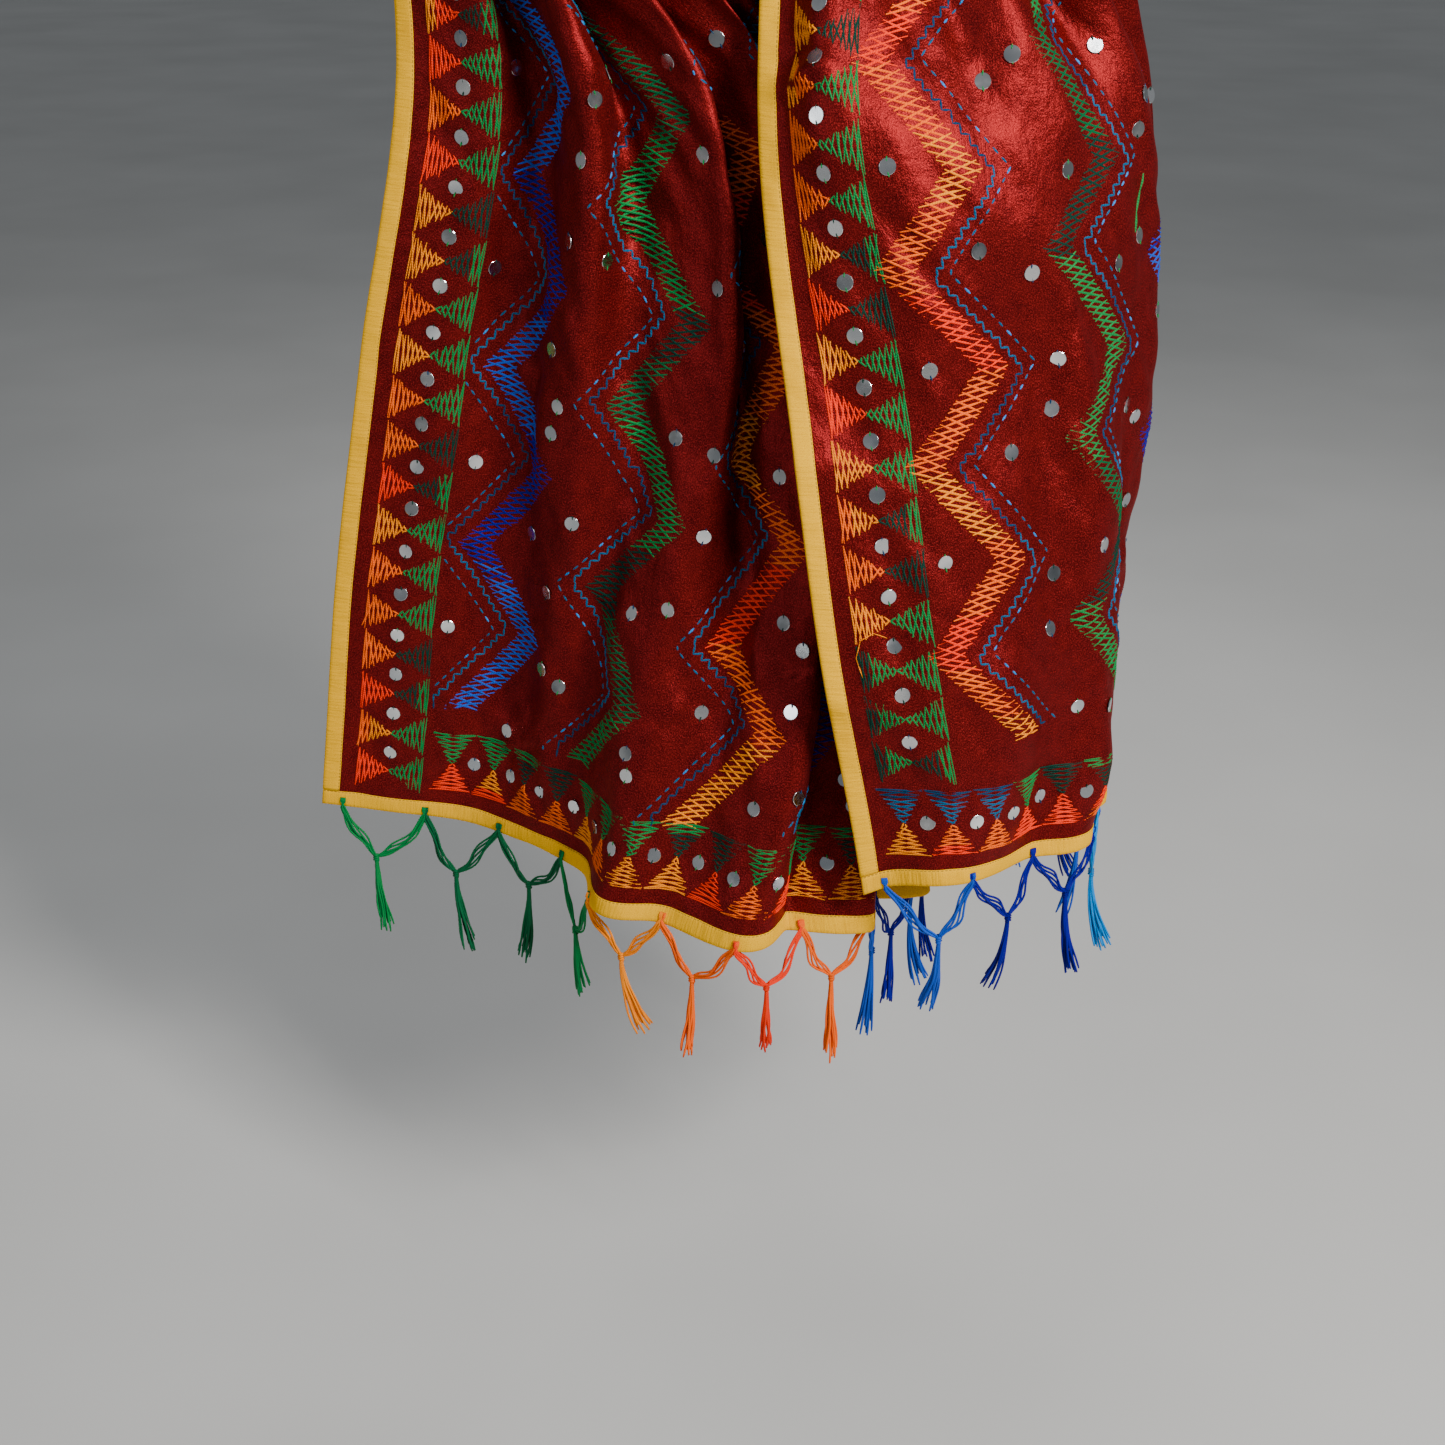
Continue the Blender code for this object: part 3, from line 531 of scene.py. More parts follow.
# How wide a stitch of each kind is and how high it stands
CROSS_SIZE = (0.0019, 0.0012)
STAIR_SIZE = (0.0020, 0.0012)
DASH_SIZE = (0.0018, 0.0012)
FILL_SIZE = (0.0016, 0.0010)
BASE_SIZE = (0.0013, 0.0009)
LOOSE_SIZE = (0.0010, 0.0016)
HOLDER_SIZE = (0.0012, 0.0006)
HOLDER_LIFT = 0.0009

# Zigzag bands: how far from the left hem one starts and from the right hem it ends, how often it
# repeats, the share of a repeat that swings inward, which of its colours comes first, those
# colours in turn, and about how long the thread keeps each
BAND_FIRST = 0.145
BAND_SPACING = 0.130
BAND_SWING = 0.031
BAND_HALF = 0.014
BAND_MARGIN = 0.100
BAND_OVERRUN = 0.002
COLOUR_SWING = 0.25
CROSS_STEP = 0.0058
CROSS_SLANT = 0.0092
Band = namedtuple("Band", "first last repeats rise start_colour colours change")
BLUES = ("blue", "indigo")
GREENS = ("green", "mid_green", "dark_green", "green")
ORANGES = ("yellow_orange", "orange", "red_orange", "orange")
BANDS = [
    Band(0.112, 0.120, 15, 0.50, 0, BLUES, 0.125),
    Band(0.102, 0.120, 15, 0.46, 0, GREENS, 0.060),
    Band(0.085, 0.120, 16, 0.60, 0, ORANGES, 0.075),
    Band(0.100, 0.120, 16, 0.50, 1, BLUES, 0.120),
    Band(0.110, 0.130, 16, 0.41, 0, GREENS, 0.075),
    Band(0.110, 0.128, 16, 0.50, 1, ORANGES, 0.055),
]
STAIR_OFF = 0.026
STAIR_STEP = 0.0070
DASH_OFF = 0.038
DASH_LENGTH = 0.0052
DASH_STEP = 0.0092

# Border of triangles, measured from the edge of the cloth
WARM_COLOURS = ("red_orange", "orange", "yellow_orange", "orange", "yellow_orange", "orange",
                "red_orange")
BORDER_BASE = 0.0285
BORDER_MIDDLE = 0.0560
BORDER_TOP = 0.0855
BORDER_REPEAT = 0.0385
BORDER_HALF = 0.0178
BORDER_START = 0.022
BORDER_CORNER = 0.092
BASE_OVERLAP = 0.0006
FILL_STEP = 0.0040
LINES_FROM = BORDER_TOP + 0.001

# Mirrors: a row beside each side border and staggered ones beside each band
MIRROR_RADIUS = 0.006
MIRROR_ASIDE = 0.053
MIRROR_STEP = 0.045
MIRROR_STAGGER = 0.013
EDGE_MIRRORS = 0.101
MIRRORS_FROM = 0.098
MIRROR_SIDES = 20
MIRROR_RINGS = [(1.0, 0.0001), (1.0, 0.0006), (0.96, 0.0008)]
MIRROR_TILT = 0.075
FLAT_ENOUGH = 0.35
HOLDER_ENDS = (0.0036, 0.0070)


def zigzag(along, band, length):
    """Sideways swing of a band's middle line at places along the cloth, from -1 to 1."""
    run = length - band.first - band.last
    turn = (along - band.first) * band.repeats / run
    phase = turn - np.floor(turn)
    return 2 * np.where(phase < band.rise, phase / band.rise, (1 - phase) / (1 - band.rise)) - 1


def colours_along(along, band, rng):
    """Thread numbers along a band: the thread changes colour every few centimetres."""
    stretch = band.change * (1 + COLOUR_SWING * np.sin(along * 13 + band.change * 90))
    number = np.floor(np.cumsum(np.gradient(along) / stretch) + 0.2 * rng.uniform(size=len(along)))
    palette = np.array([NUMBER[name] for name in band.colours])
    return palette[(band.start_colour + number.astype(int)) % len(palette)]


def add_bands(cloth, crosses, lines):
    """The zigzag bands of crossed stitches with a stepped line and a dashed line beside each."""
    for k, band in enumerate(BANDS):
        rng = np.random.default_rng(20 + k)
        middle = BAND_FIRST + BAND_SPACING * k
        along = np.arange(band.first, cloth.length - band.last, CROSS_STEP)
        colour = colours_along(along, band, rng)
        for slant in (-1, 1):
            ends = []
            for side in (-1, 1):
                place = along + side * slant * CROSS_SLANT / 2
                place = np.clip(place, band.first - BAND_OVERRUN, cloth.length - band.last + BAND_OVERRUN)
                place = place + rng.normal(0, 0.0005, len(along))
                across = middle + BAND_SWING * zigzag(place, band, cloth.length) + side * BAND_HALF
                ends.append(np.stack([across + rng.normal(0, 0.0007, len(along)), place], axis=1))
            crosses.add(ends[0], ends[1], colour, *CROSS_SIZE)
        fine = np.linspace(band.first - 2 * BAND_OVERRUN, cloth.length - band.last, 2600)
        swing = BAND_SWING * zigzag(fine, band, cloth.length)
        add_stepped_line(fine, middle - STAIR_OFF + swing, lines, rng)
        add_dashes(fine, middle - DASH_OFF + swing, lines, rng)


def add_stepped_line(fine, path, lines, rng):
    """The line of small steps beside a band."""
    along = np.arange(fine[0], fine[-1], STAIR_STEP)
    across = np.interp(along, fine, path) + rng.normal(0, 0.0005, len(along))
    along = along + rng.normal(0, 0.0004, len(along))
    shade = np.where(np.sin(along[:-1] * 23 + path[0] * 40) > -0.1, NUMBER["teal"], NUMBER["dark_teal"])
    corner = np.stack([across[:-1], along[1:]], axis=1)
    free = (across[:-1] > LINES_FROM) & (across[1:] > LINES_FROM)
    place = np.stack([across, along], axis=1)
    lines.add(place[:-1][free], corner[free], shade[free], *STAIR_SIZE)
    lines.add(corner[free], place[1:][free], shade[free], *STAIR_SIZE)


def add_dashes(fine, path, lines, rng):
    """The running stitch beyond a stepped line."""
    line = np.stack([path, fine], axis=1)
    travelled = lengths_along(line)
    starts = np.arange(0.002, travelled[-1] - DASH_STEP, DASH_STEP)
    lengths = DASH_LENGTH * rng.uniform(0.8, 1.1, len(starts))
    ends = [np.stack([np.interp(at, travelled, line[:, k]) for k in (0, 1)], axis=1)
            for at in (starts, starts + lengths)]
    shade = np.where(rng.uniform(size=len(starts)) > 0.25, NUMBER["teal"], NUMBER["light_blue"])
    free = np.minimum(ends[0][:, 0], ends[1][:, 0]) > LINES_FROM
    lines.add(ends[0][free], ends[1][free], shade[free], *DASH_SIZE)


def fill_triangle(stitches, to_cloth, tip, base, middle, colour, rng, end_colour=None):
    """Long crossed stitches almost parallel to a triangle's base, from its base to its tip."""
    height = abs(base - tip)
    count = max(2, round(height / FILL_STEP))
    level = np.linspace(0.0, 1.0, count + 1)
    depth = base + (tip - base) * level
    half = BORDER_HALF * (1 - level) + BASE_OVERLAP
    for low, high in ((slice(None, -1), slice(1, None)), (slice(1, None), slice(None, -1))):
        start = np.stack([middle - half[low], depth[low]], axis=1)
        end = np.stack([middle + half[high], depth[high]], axis=1)
        wander = rng.normal(0, 0.0008, start.shape)
        shade = np.full(count, colour)
        if end_colour is not None:
            shade[round(count * 0.35):] = end_colour
        stitches.add(to_cloth(start + wander), to_cloth(end - wander), shade, *FILL_SIZE)
    stitches.add(to_cloth(np.array([[middle - half[0], depth[0] - BASE_OVERLAP]])),
                 to_cloth(np.array([[middle + half[0], depth[0] + BASE_OVERLAP]])), colour, *BASE_SIZE)


Run = namedtuple("Run", "start end to_cloth last_outer_green last_inner_teal")


def border_runs(length):
    """The four straight runs of the border, each with the way from its own places to the cloth's."""
    low, side_end, hem_end = BORDER_START, length - BORDER_CORNER, CLOTH_WIDTH - BORDER_CORNER
    return [
        Run(low, side_end, lambda p: p[:, ::-1], 0, 0),
        Run(low, side_end, lambda p: np.stack([CLOTH_WIDTH - p[:, 1], p[:, 0]], axis=1), 3, 0),
        Run(BORDER_CORNER, hem_end, lambda p: p, 0, 0),
        Run(low, CLOTH_WIDTH - low, lambda p: np.stack([p[:, 0], length - p[:, 1]], axis=1), 0, 3),
    ]


def add_border(cloth, stitches, mirrors):
    """Pairs of triangles that meet tip to tip along every edge, with mirrors between the pairs."""
    warm = [NUMBER[name] for name in WARM_COLOURS]
    for n, run in enumerate(border_runs(cloth.length)):
        rng = np.random.default_rng(40 + n)
        count = round((run.end - run.start) / BORDER_REPEAT)
        step = (run.end - run.start) / count
        for k in range(count):
            middle = run.start + step * (k + 0.5)
            outer = warm[(3 * k + 2 * n) % len(warm)] if k % 3 else warm[(k // 3) % len(warm)]
            change = warm[(k + 3) % len(warm)] if k % 4 == 1 else None
            inner = NUMBER["dark_green"] if k % 5 == 3 else NUMBER["green"]
            inner_change = NUMBER["dark_green"] if k % 5 == 2 else None
            if k >= count - run.last_outer_green:
                outer, change = NUMBER["dark_green"], NUMBER["green"]
            if k >= count - run.last_inner_teal:
                inner, inner_change = NUMBER["dark_teal"], NUMBER["teal"]
            fill_triangle(stitches, run.to_cloth, BORDER_MIDDLE, BORDER_BASE, middle, outer, rng, change)
            fill_triangle(stitches, run.to_cloth, BORDER_MIDDLE, BORDER_TOP, middle, inner, rng,
                          inner_change)
            if k < count - 1:
                spot = np.array([[middle + step / 2, BORDER_MIDDLE + 0.001]])
                mirrors.append(run.to_cloth(spot)[0])


# Ends of thread left hanging on the right end, by their places across and up from its hem
LOOSE_THREADS = [
    ([(0.603, 0.505), (0.598, 0.520), (0.590, 0.536), (0.586, 0.548)], "green"),
    ([(0.868, 0.214), (0.878, 0.218), (0.888, 0.212), (0.893, 0.198), (0.890, 0.182)], "yellow_orange"),
]


def field_mirrors(length):
    """Places of the loose mirrors between the bands and beside the borders."""
    rng = np.random.default_rng(60)
    spots = []
    for band, across, part in ((BANDS[0], EDGE_MIRRORS, 0.5), (BANDS[-1], CLOTH_WIDTH - EDGE_MIRRORS, 0.0)):
        run = length - band.first - band.last
        spots += [(across, band.first + run * (k + part) / band.repeats) for k in range(band.repeats)]
    for gap in range(len(BANDS) - 1):
        middle = BAND_FIRST + BAND_SPACING * gap + MIRROR_ASIDE
        for k, along in enumerate(np.arange(BAND_MARGIN, length - BAND_MARGIN, MIRROR_STEP)):
            place = along + 0.4 * MIRROR_STEP * math.sin(2.3 * k + gap)
            swing = BAND_SWING * zigzag(np.array([place]), BANDS[gap], length)[0]
            spots.append((middle + swing + MIRROR_STAGGER * (1 if (k + gap) % 2 else -1), place))
    spots = np.array(spots)
    spots += rng.normal(0, 0.0025, spots.shape)
    inside = (spots[:, 1] > MIRRORS_FROM) & (spots[:, 1] < length - MIRRORS_FROM)
    return list(spots[inside])


def circle(side, up, sides):
    """Directions round a circle at each place, from its sideways and upward directions."""
    turn = np.linspace(0, 2 * math.pi, sides, endpoint=False)[None, :, None]
    return side[:, None] * np.cos(turn) + up[:, None] * np.sin(turn)


def add_mirrors(cloth, spots, silver, stitches):
    """Round mirrors, each a low disc with a rounded rim, and the two stitches that hold each."""
    spots = np.array(spots)
    rng = np.random.default_rng(61)
    _, out_before = cloth.read(spots[:, 0] - MIRROR_RADIUS, spots[:, 1])
    _, out_after = cloth.read(spots[:, 0] + MIRROR_RADIUS, spots[:, 1])
    spots = spots[np.sum(out_before * out_after, axis=1) > FLAT_ENOUGH]
    points, out = cloth.read(spots[:, 0], spots[:, 1])
    beside, _ = cloth.read(spots[:, 0] + 0.004, spots[:, 1])
    side = unit(beside - points)
    up = unit(np.cross(out, side))
    tilt = rng.normal(0, MIRROR_TILT, (len(spots), 2, 1))
    face = unit(out + tilt[:, 0] * side + tilt[:, 1] * up)
    side = unit(side - np.sum(side * face, axis=1, keepdims=True) * face)
    up = np.cross(face, side)
    round_face = circle(side, up, MIRROR_SIDES)
    rings = np.stack([points[:, None] + round_face * (MIRROR_RADIUS * share)
                      + face[:, None] * (lift + CLOTH_HALF) for share, lift in MIRROR_RINGS], axis=1)
    count, levels, sides = rings.shape[:3]
    index = np.arange(count * levels * sides).reshape(count, levels, sides)
    after = np.roll(index, -1, axis=2)
    walls = np.stack([index[:, :-1], after[:, :-1], after[:, 1:], index[:, 1:]], axis=-1).reshape(-1, 4)
    faces = walls.tolist() + index[:, -1].tolist()
    piece = add_piece("mirrors", rings, faces, None, None, [silver])
    piece.data.shade_flat()
    tone = np.array([NUMBER["green"], NUMBER["dark_green"], NUMBER["dark_teal"]])[
        rng.integers(0, 3, len(spots))]
    for path, colour in LOOSE_THREADS:
        line = np.array(path)
        line[:, 1] = cloth.length - line[:, 1]
        stitches.add(line[:-1], line[1:], NUMBER[colour], *LOOSE_SIZE)
    for toward in (-1, 1):
        start = spots + np.array([0.0003, toward * HOLDER_ENDS[0]])
        end = spots + np.array([-0.0003, toward * HOLDER_ENDS[1]])
        stitches.add(start, end, tone, *HOLDER_SIZE, HOLDER_LIFT)


Strand = namedtuple("Strand", "points radius")
TIP_SHARE = 0.7
UPWARD = np.array([0.0, 0.0, 1.0])


def strand_mesh(name, strands, material, sides=5):
    """Round strands of yarn along smooth paths as one mesh."""
    points, faces, marks = [], [], []
    for strand in strands:
        path = np.array(strand.points)
        share = lengths_along(path)
        steps = max(6, round(share[-1] / FINE_STEP))
        path = smooth_through(share, path, np.linspace(0, share[-1], steps))
        run = unit(np.gradient(path, axis=0))
        side = unit(np.cross(run, np.array([0.31, 0.93, 0.18])))
        other = np.cross(run, side)
        wide = strand.radius * np.clip(np.linspace(6.0, TIP_SHARE, steps), TIP_SHARE, 1.0)
        ring = path[:, None] + circle(side, other, sides) * wide[:, None, None]
        start = sum(len(p) for p in points)
        index = start + np.arange(steps * sides).reshape(steps, sides)
        after = np.roll(index, -1, axis=1)
        faces += np.stack([index[:-1], after[:-1], after[1:], index[1:]], axis=-1).reshape(-1, 4).tolist()
        faces += [index[0][::-1].tolist(), index[-1].tolist()]
        points.append(ring.reshape(-1, 3))
        marks.append(layout(np.linspace(0.0, 2 * math.pi * strand.radius, sides)[None, :],
                            np.linspace(0.0, share[-1], steps)[:, None]).reshape(-1, 2))
    return add_piece(name, np.concatenate(points), faces, None, np.concatenate(marks), [material])


# Fringe, at the places of the part's own tassels
TASSELS_PER_HEM = 12
FIRST_ANCHOR = 0.018
ANCHOR_ASIDE = 0.0005
HUNG_ABOVE = 0.001
SEWN_ABOVE = 0.009
KNOT_DROP = 0.043
KNOT_ASIDE = -0.0050
TASSEL_LENGTH = 0.068
YARNS_IN_LEG = 5
LEG_WIDTH = 0.0085
LEG_SAG = 0.0080
LEG_WAVE = 0.0022
YARN_WAVE = 0.0011
YARN_DEPTH = 0.0010
SEWN_WIDTH = 0.0040
PATH_POINTS = 9
KNOT_TURNS = 3
KNOT_RADIUS = 0.0021
TURN_HEIGHT = 0.0022
END_SPREAD = 0.0058
END_CURL = 0.0013
ENDS_BELOW = 14
YARN_RADIUS = 0.00095
LEFT_YARNS = ("green", "mid_green", "mid_green", "green", "yellow_orange", "orange", "red_orange",
              "orange", "blue", "indigo", "blue", "indigo")
RIGHT_YARNS = ("yellow_orange", "orange", "red_orange", "orange", "indigo", "blue", "indigo",
               "blue", "light_blue", "indigo", "indigo", "blue")


def tassel_strands(left, right, sewn, knot, drop, rng):
    """The legs, the wound knot and the loose ends of one tassel, as strands of yarn."""
    strands = []
    across = unit(right - left)
    deep = np.array([across[1], -across[0], 0.0])
    for anchor, over in ((left, sewn[0]), (right, sewn[1])):
        beside = unit(np.cross(knot - anchor, deep))
        slack, phase = rng.uniform(0.3, 1.25), rng.uniform(0.0, 6.3)
        for k in range(YARNS_IN_LEG):
            place_in_leg = (k - (YARNS_IN_LEG - 1) / 2) / YARNS_IN_LEG
            sewn_aside = across * SEWN_WIDTH * place_in_leg
            path = [over + sewn_aside, over + (anchor - over) * 0.55 + sewn_aside]
            for share in np.linspace(0.0, 1.0, PATH_POINTS):
                middle = math.sin(math.pi * share)
                swell = math.sin(math.pi * (0.12 + 0.82 * share))
                wave = YARN_WAVE * math.sin(phase + 9.0 * share + 1.3 * k)
                wave += LEG_WAVE * math.sin(phase + 6.0 * share)
                depth = YARN_DEPTH * math.cos(phase + 7.0 * share + 2.1 * k) * swell
                place = anchor + (knot - anchor) * share - UPWARD * LEG_SAG * slack * middle
                aside = beside * (LEG_WIDTH * place_in_leg * swell + wave * middle)
                path.append(place + aside + deep * depth)
            strands.append(Strand(path, YARN_RADIUS))
    for k in range(KNOT_TURNS):
        height = TURN_HEIGHT * (1 - k)
        ring = [knot + KNOT_RADIUS * (across * math.cos(t) + deep * math.sin(t))
                + UPWARD * (height - 0.0003 * t) for t in np.linspace(0, 6.6, 12)]
        strands.append(Strand(ring, YARN_RADIUS * 1.25))
    lean = rng.normal(0, 0.0090, 2)
    for k in range(ENDS_BELOW):
        turn = 2 * math.pi * k / ENDS_BELOW + rng.uniform(-0.3, 0.3)
        spread = END_SPREAD * rng.uniform(0.3, 1.2)
        fall = drop * rng.uniform(0.84, 1.04)
        wave = rng.uniform(0, 6.3)
        path = []
        for share in np.linspace(0.0, 1.0, PATH_POINTS):
            wide = 0.0008 + spread * share**1.3
            curl = END_CURL * math.sin(wave + share * 8.0) * share
            sway = across * (lean[0] * share**2 + curl) + deep * (lean[1] * share**2)
            place = knot + (across * math.cos(turn) + deep * math.sin(turn)) * wide + sway
            path.append(place - UPWARD * (0.002 + fall * share))
        strands.append(Strand(path, YARN_RADIUS))
    return strands


def add_fringe(side, cloth, hem, inward, yarns, materials):
    """Yarn tassels of one hem, each in place of the part's tassel."""
    pitch = (CLOTH_WIDTH - 2 * FIRST_ANCHOR) / TASSELS_PER_HEM
    anchors = FIRST_ANCHOR + pitch * np.arange(TASSELS_PER_HEM + 1)
    for k in range(TASSELS_PER_HEM):
        rng = np.random.default_rng(100 * (1 + (side == "right")) + k)
        tops, sewn = [], []
        for anchor, toward in ((anchors[k], 1), (anchors[k + 1], -1)):
            place, out = cloth.read(np.array([anchor + toward * ANCHOR_ASIDE] * 2),
                                    hem + inward * np.array([HUNG_ABOVE, SEWN_ABOVE]))
            tops.append(place[0] + out[0] * 0.0025)
            sewn.append(place[1] + out[1] * 0.0020)
        knot = (tops[0] + tops[1]) / 2
        knot += unit(tops[1] - tops[0]) * rng.normal(KNOT_ASIDE, 0.0040)
        knot[2] = min(tops[0][2], tops[1][2]) - KNOT_DROP + rng.normal(0.0, 0.0025)
        strands = tassel_strands(tops[0], tops[1], sewn, knot, TASSEL_LENGTH, rng)
        name = f"{side}_tassel_{k + 1:02d}"
        piece = strand_mesh(name, strands, materials[NUMBER[yarns[k]]])
        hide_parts(f"tassel_{side}_{k + 1:02d}")


class Nodes:
    """Short calls for building a material's nodes."""

    def __init__(self, name):
        self.material = bpy.data.materials.new(name)
        self.material.use_nodes = True
        self.tree = self.material.node_tree
        self.shader = self.tree.nodes["Principled BSDF"]

    def add(self, kind, links=(), **values):
        """A node with its properties, socket values and incoming links set."""
        node = self.tree.nodes.new(kind)
        for key, value in values.items():
            if hasattr(node, key):
                setattr(node, key, value)
            else:
                node.inputs[key.replace("_", " ")].default_value = value
        for source, target in links:
            self.tree.links.new(source, node.inputs[target])
        return node

    def shade(self, **values):
        """Uniform values set straight on the shader's sockets."""
        for key, value in values.items():
            self.shader.inputs[key.replace("_", " ")].default_value = value

    def feed(self, source, target):
        """Link a node's output to a socket of the shader."""
        self.tree.links.new(source, self.shader.inputs[target])

    def mix(self, first, second, factor):
        """Colour between two colours by a factor's output."""
        node = self.add("ShaderNodeMix", data_type="RGBA")
        for socket, value in ((node.inputs[6], first), (node.inputs[7], second)):
            if hasattr(value, "is_output"):
                self.tree.links.new(value, socket)
            else:
                socket.default_value = (*value, 1.0)
        self.tree.links.new(factor, node.inputs[0])
        return node.outputs[2]

    def spread(self, source, low, high, to_low=0.0, to_high=1.0):
        """A value moved from one range to another, held at both ends."""
        node = self.add("ShaderNodeMapRange", [(source, "Value")])
        for key, value in (("From Min", low), ("From Max", high), ("To Min", to_low), ("To Max", to_high)):
            node.inputs[key].default_value = value
        return node.outputs["Result"]

    def math(self, operation, first, second=None):
        """A sum on one or two values, each a node's output or a number."""
        node = self.add("ShaderNodeMath", operation=operation)
        for socket, value in zip(node.inputs, (first, second)):
            if hasattr(value, "is_output"):
                self.tree.links.new(value, socket)
            elif value is not None:
                socket.default_value = value
        return node.outputs[0]

    def noise(self, vector, scale, detail=2.0):
        """Noise on a scaled layout: its value output."""
        stretched = self.add("ShaderNodeMapping", [(vector, "Vector")])
        stretched.inputs["Scale"].default_value = scale
        node = self.add("ShaderNodeTexNoise", [(stretched.outputs[0], "Vector")])
        node.inputs["Scale"].default_value = 1.0
        node.inputs["Detail"].default_value = detail
        return node.outputs["Fac"]

    def bump(self, height, strength, distance, before=None):
        """A bump of a height's output, after another bump if there is one."""
        node = self.add("ShaderNodeBump", [(height, "Height")])
        node.inputs["Strength"].default_value = strength
        node.inputs["Distance"].default_value = distance
        if before is not None:
            self.tree.links.new(before, node.inputs["Normal"])
        return node.outputs["Normal"]


def satin_material():
    """Red satin: warp streaks, slubs, faint mottling and small wrinkles, with a soft broad sheen; the
    bright specks mixed into its colour are painted highlight.
    """
    nodes = Nodes("satin_red")
    flat = nodes.add("ShaderNodeUVMap", uv_map="flat").outputs[0]
    grain_and_painted_glints = nodes.noise(flat, (1100.0, 800.0, 1.0), 4.0)
    warp = nodes.noise(flat, (2400.0, 260.0, 1.0), 2.0)
    slub = nodes.noise(flat, (420.0, 40.0, 1.0), 2.0)
    mottle = nodes.noise(flat, (90.0, 70.0, 1.0), 5.0)
    crumple = nodes.noise(flat, (210.0, 120.0, 1.0), 4.0)
    cloth = nodes.mix((0.060, 0.0026, 0.0030), (0.125, 0.0055, 0.0060), nodes.spread(mottle, 0.3, 0.7))
    # Bright specks of the fine speckle noise in the colour are painted highlight, a painted speckled sheen;
    # the same noise also sets roughness and fine bumps.
    cloth = nodes.mix(cloth, (0.46, 0.024, 0.026), nodes.spread(grain_and_painted_glints, 0.46, 0.76, 0.0, 0.85))
    nodes.feed(cloth, "Base Color")
    nodes.feed(nodes.spread(grain_and_painted_glints, 0.3, 0.7, 0.32, 0.52), "Roughness")
    first = nodes.bump(crumple, 0.60, 0.0016)
    second = nodes.bump(slub, 0.35, 0.00030, first)
    third = nodes.bump(warp, 0.35, 0.00020, second)
    nodes.feed(nodes.bump(grain_and_painted_glints, 0.70, 0.00045, third), "Normal")
    nodes.shade(Metallic=0.62, Sheen_Weight=0.06, Sheen_Roughness=0.40,
                Sheen_Tint=(1.0, 0.10, 0.10, 1.0), Specular_IOR_Level=0.22,
                Specular_Tint=(1.0, 0.30, 0.28, 1.0), Anisotropic=0.35)
    return nodes.material


def tape_material():
    """Yellow cotton tape: plain weave, darker in scattered patches, and a line of stitches."""
    nodes = Nodes("tape_yellow")
    flat = nodes.add("ShaderNodeUVMap", uv_map="flat").outputs[0]
    weave = nodes.noise(flat, (1700.0, 1700.0, 1.0), 1.0)
    dark_patches = nodes.noise(flat, (60.0, 24.0, 1.0), 3.0)
    fold = nodes.noise(flat, (70.0, 420.0, 1.0), 2.0)
    parts = nodes.add("ShaderNodeSeparateXYZ", [(flat, "Vector")])
    dash = nodes.spread(nodes.math("PINGPONG", parts.outputs[1], 0.0016), 0.0004, 0.0007)
    near_line = []
    for line in (SEWN_INSIDE, TAPE_ROUND - SEWN_INSIDE):
        far = nodes.math("ABSOLUTE", nodes.math("SUBTRACT", parts.outputs[0], line))
        near_line.append(nodes.spread(far, 0.00035, 0.0007, 1.0, 0.0))
    either = nodes.math("MAXIMUM", *near_line)
    stitch = nodes.math("MULTIPLY", either, dash)
    cloth = nodes.mix((0.74, 0.34, 0.0), (0.94, 0.50, 0.0), nodes.spread(weave, 0.3, 0.6))
    # Scattered patches where the tape's colour is darker orange.
    cloth = nodes.mix(cloth, (0.55, 0.24, 0.0), nodes.spread(dark_patches, 0.55, 0.85, 0.0, 0.5))
    cloth = nodes.mix(cloth, (0.36, 0.20, 0.02), stitch)
    nodes.feed(cloth, "Base Color")
    nodes.feed(nodes.spread(weave, 0.3, 0.7, 0.62, 0.82), "Roughness")
    first = nodes.bump(fold, 0.65, 0.0014)
    second = nodes.bump(weave, 0.35, 0.00018, first)
    nodes.feed(nodes.bump(either, -0.6, 0.0004, second), "Normal")
    nodes.shade(Specular_IOR_Level=0.04)
    return nodes.material


def thread_material(colour):
    """Embroidery thread or yarn: twisted strands with painted shade in the grooves between the turns,
    lighter in patches at random.
    """
    nodes = Nodes("thread_" + colour.name)
    flat = nodes.add("ShaderNodeUVMap", uv_map="flat").outputs[0]
    turned = nodes.add("ShaderNodeMapping", [(flat, "Vector")])
    turned.inputs["Rotation"].default_value = (0.0, 0.0, math.radians(35))
    twist = nodes.add("ShaderNodeTexWave", [(turned.outputs[0], "Vector")], wave_type="BANDS")
    twist.inputs["Scale"].default_value = 260.0
    twist.inputs["Distortion"].default_value = 1.2
    patch = nodes.noise(flat, (300.0, 45.0, 1.0), 2.0)
    fuzz = nodes.noise(flat, (2500.0, 900.0, 1.0), 2.0)
    # Darker copy of the thread colour, laid in the bands of the twist: painted shade in the grooves between
    # the turns.
    painted_groove_shade = tuple(0.62 * part for part in colour.shade)
    light = tuple(min(1.0, 1.25 * part) for part in colour.shade)
    yarn = nodes.mix(painted_groove_shade, colour.shade, nodes.spread(twist.outputs["Fac"], 0.05, 0.5))
    yarn = nodes.mix(yarn, light, nodes.spread(patch, 0.45, 0.8))
    nodes.feed(yarn, "Base Color")
    nodes.feed(nodes.spread(fuzz, 0.3, 0.7, 0.5, 0.75), "Roughness")
    first = nodes.bump(twist.outputs["Fac"], 0.5, 0.0003)
    nodes.feed(nodes.bump(fuzz, 0.25, 0.0001, first), "Normal")
    nodes.shade(Specular_IOR_Level=0.12)
    return nodes.material


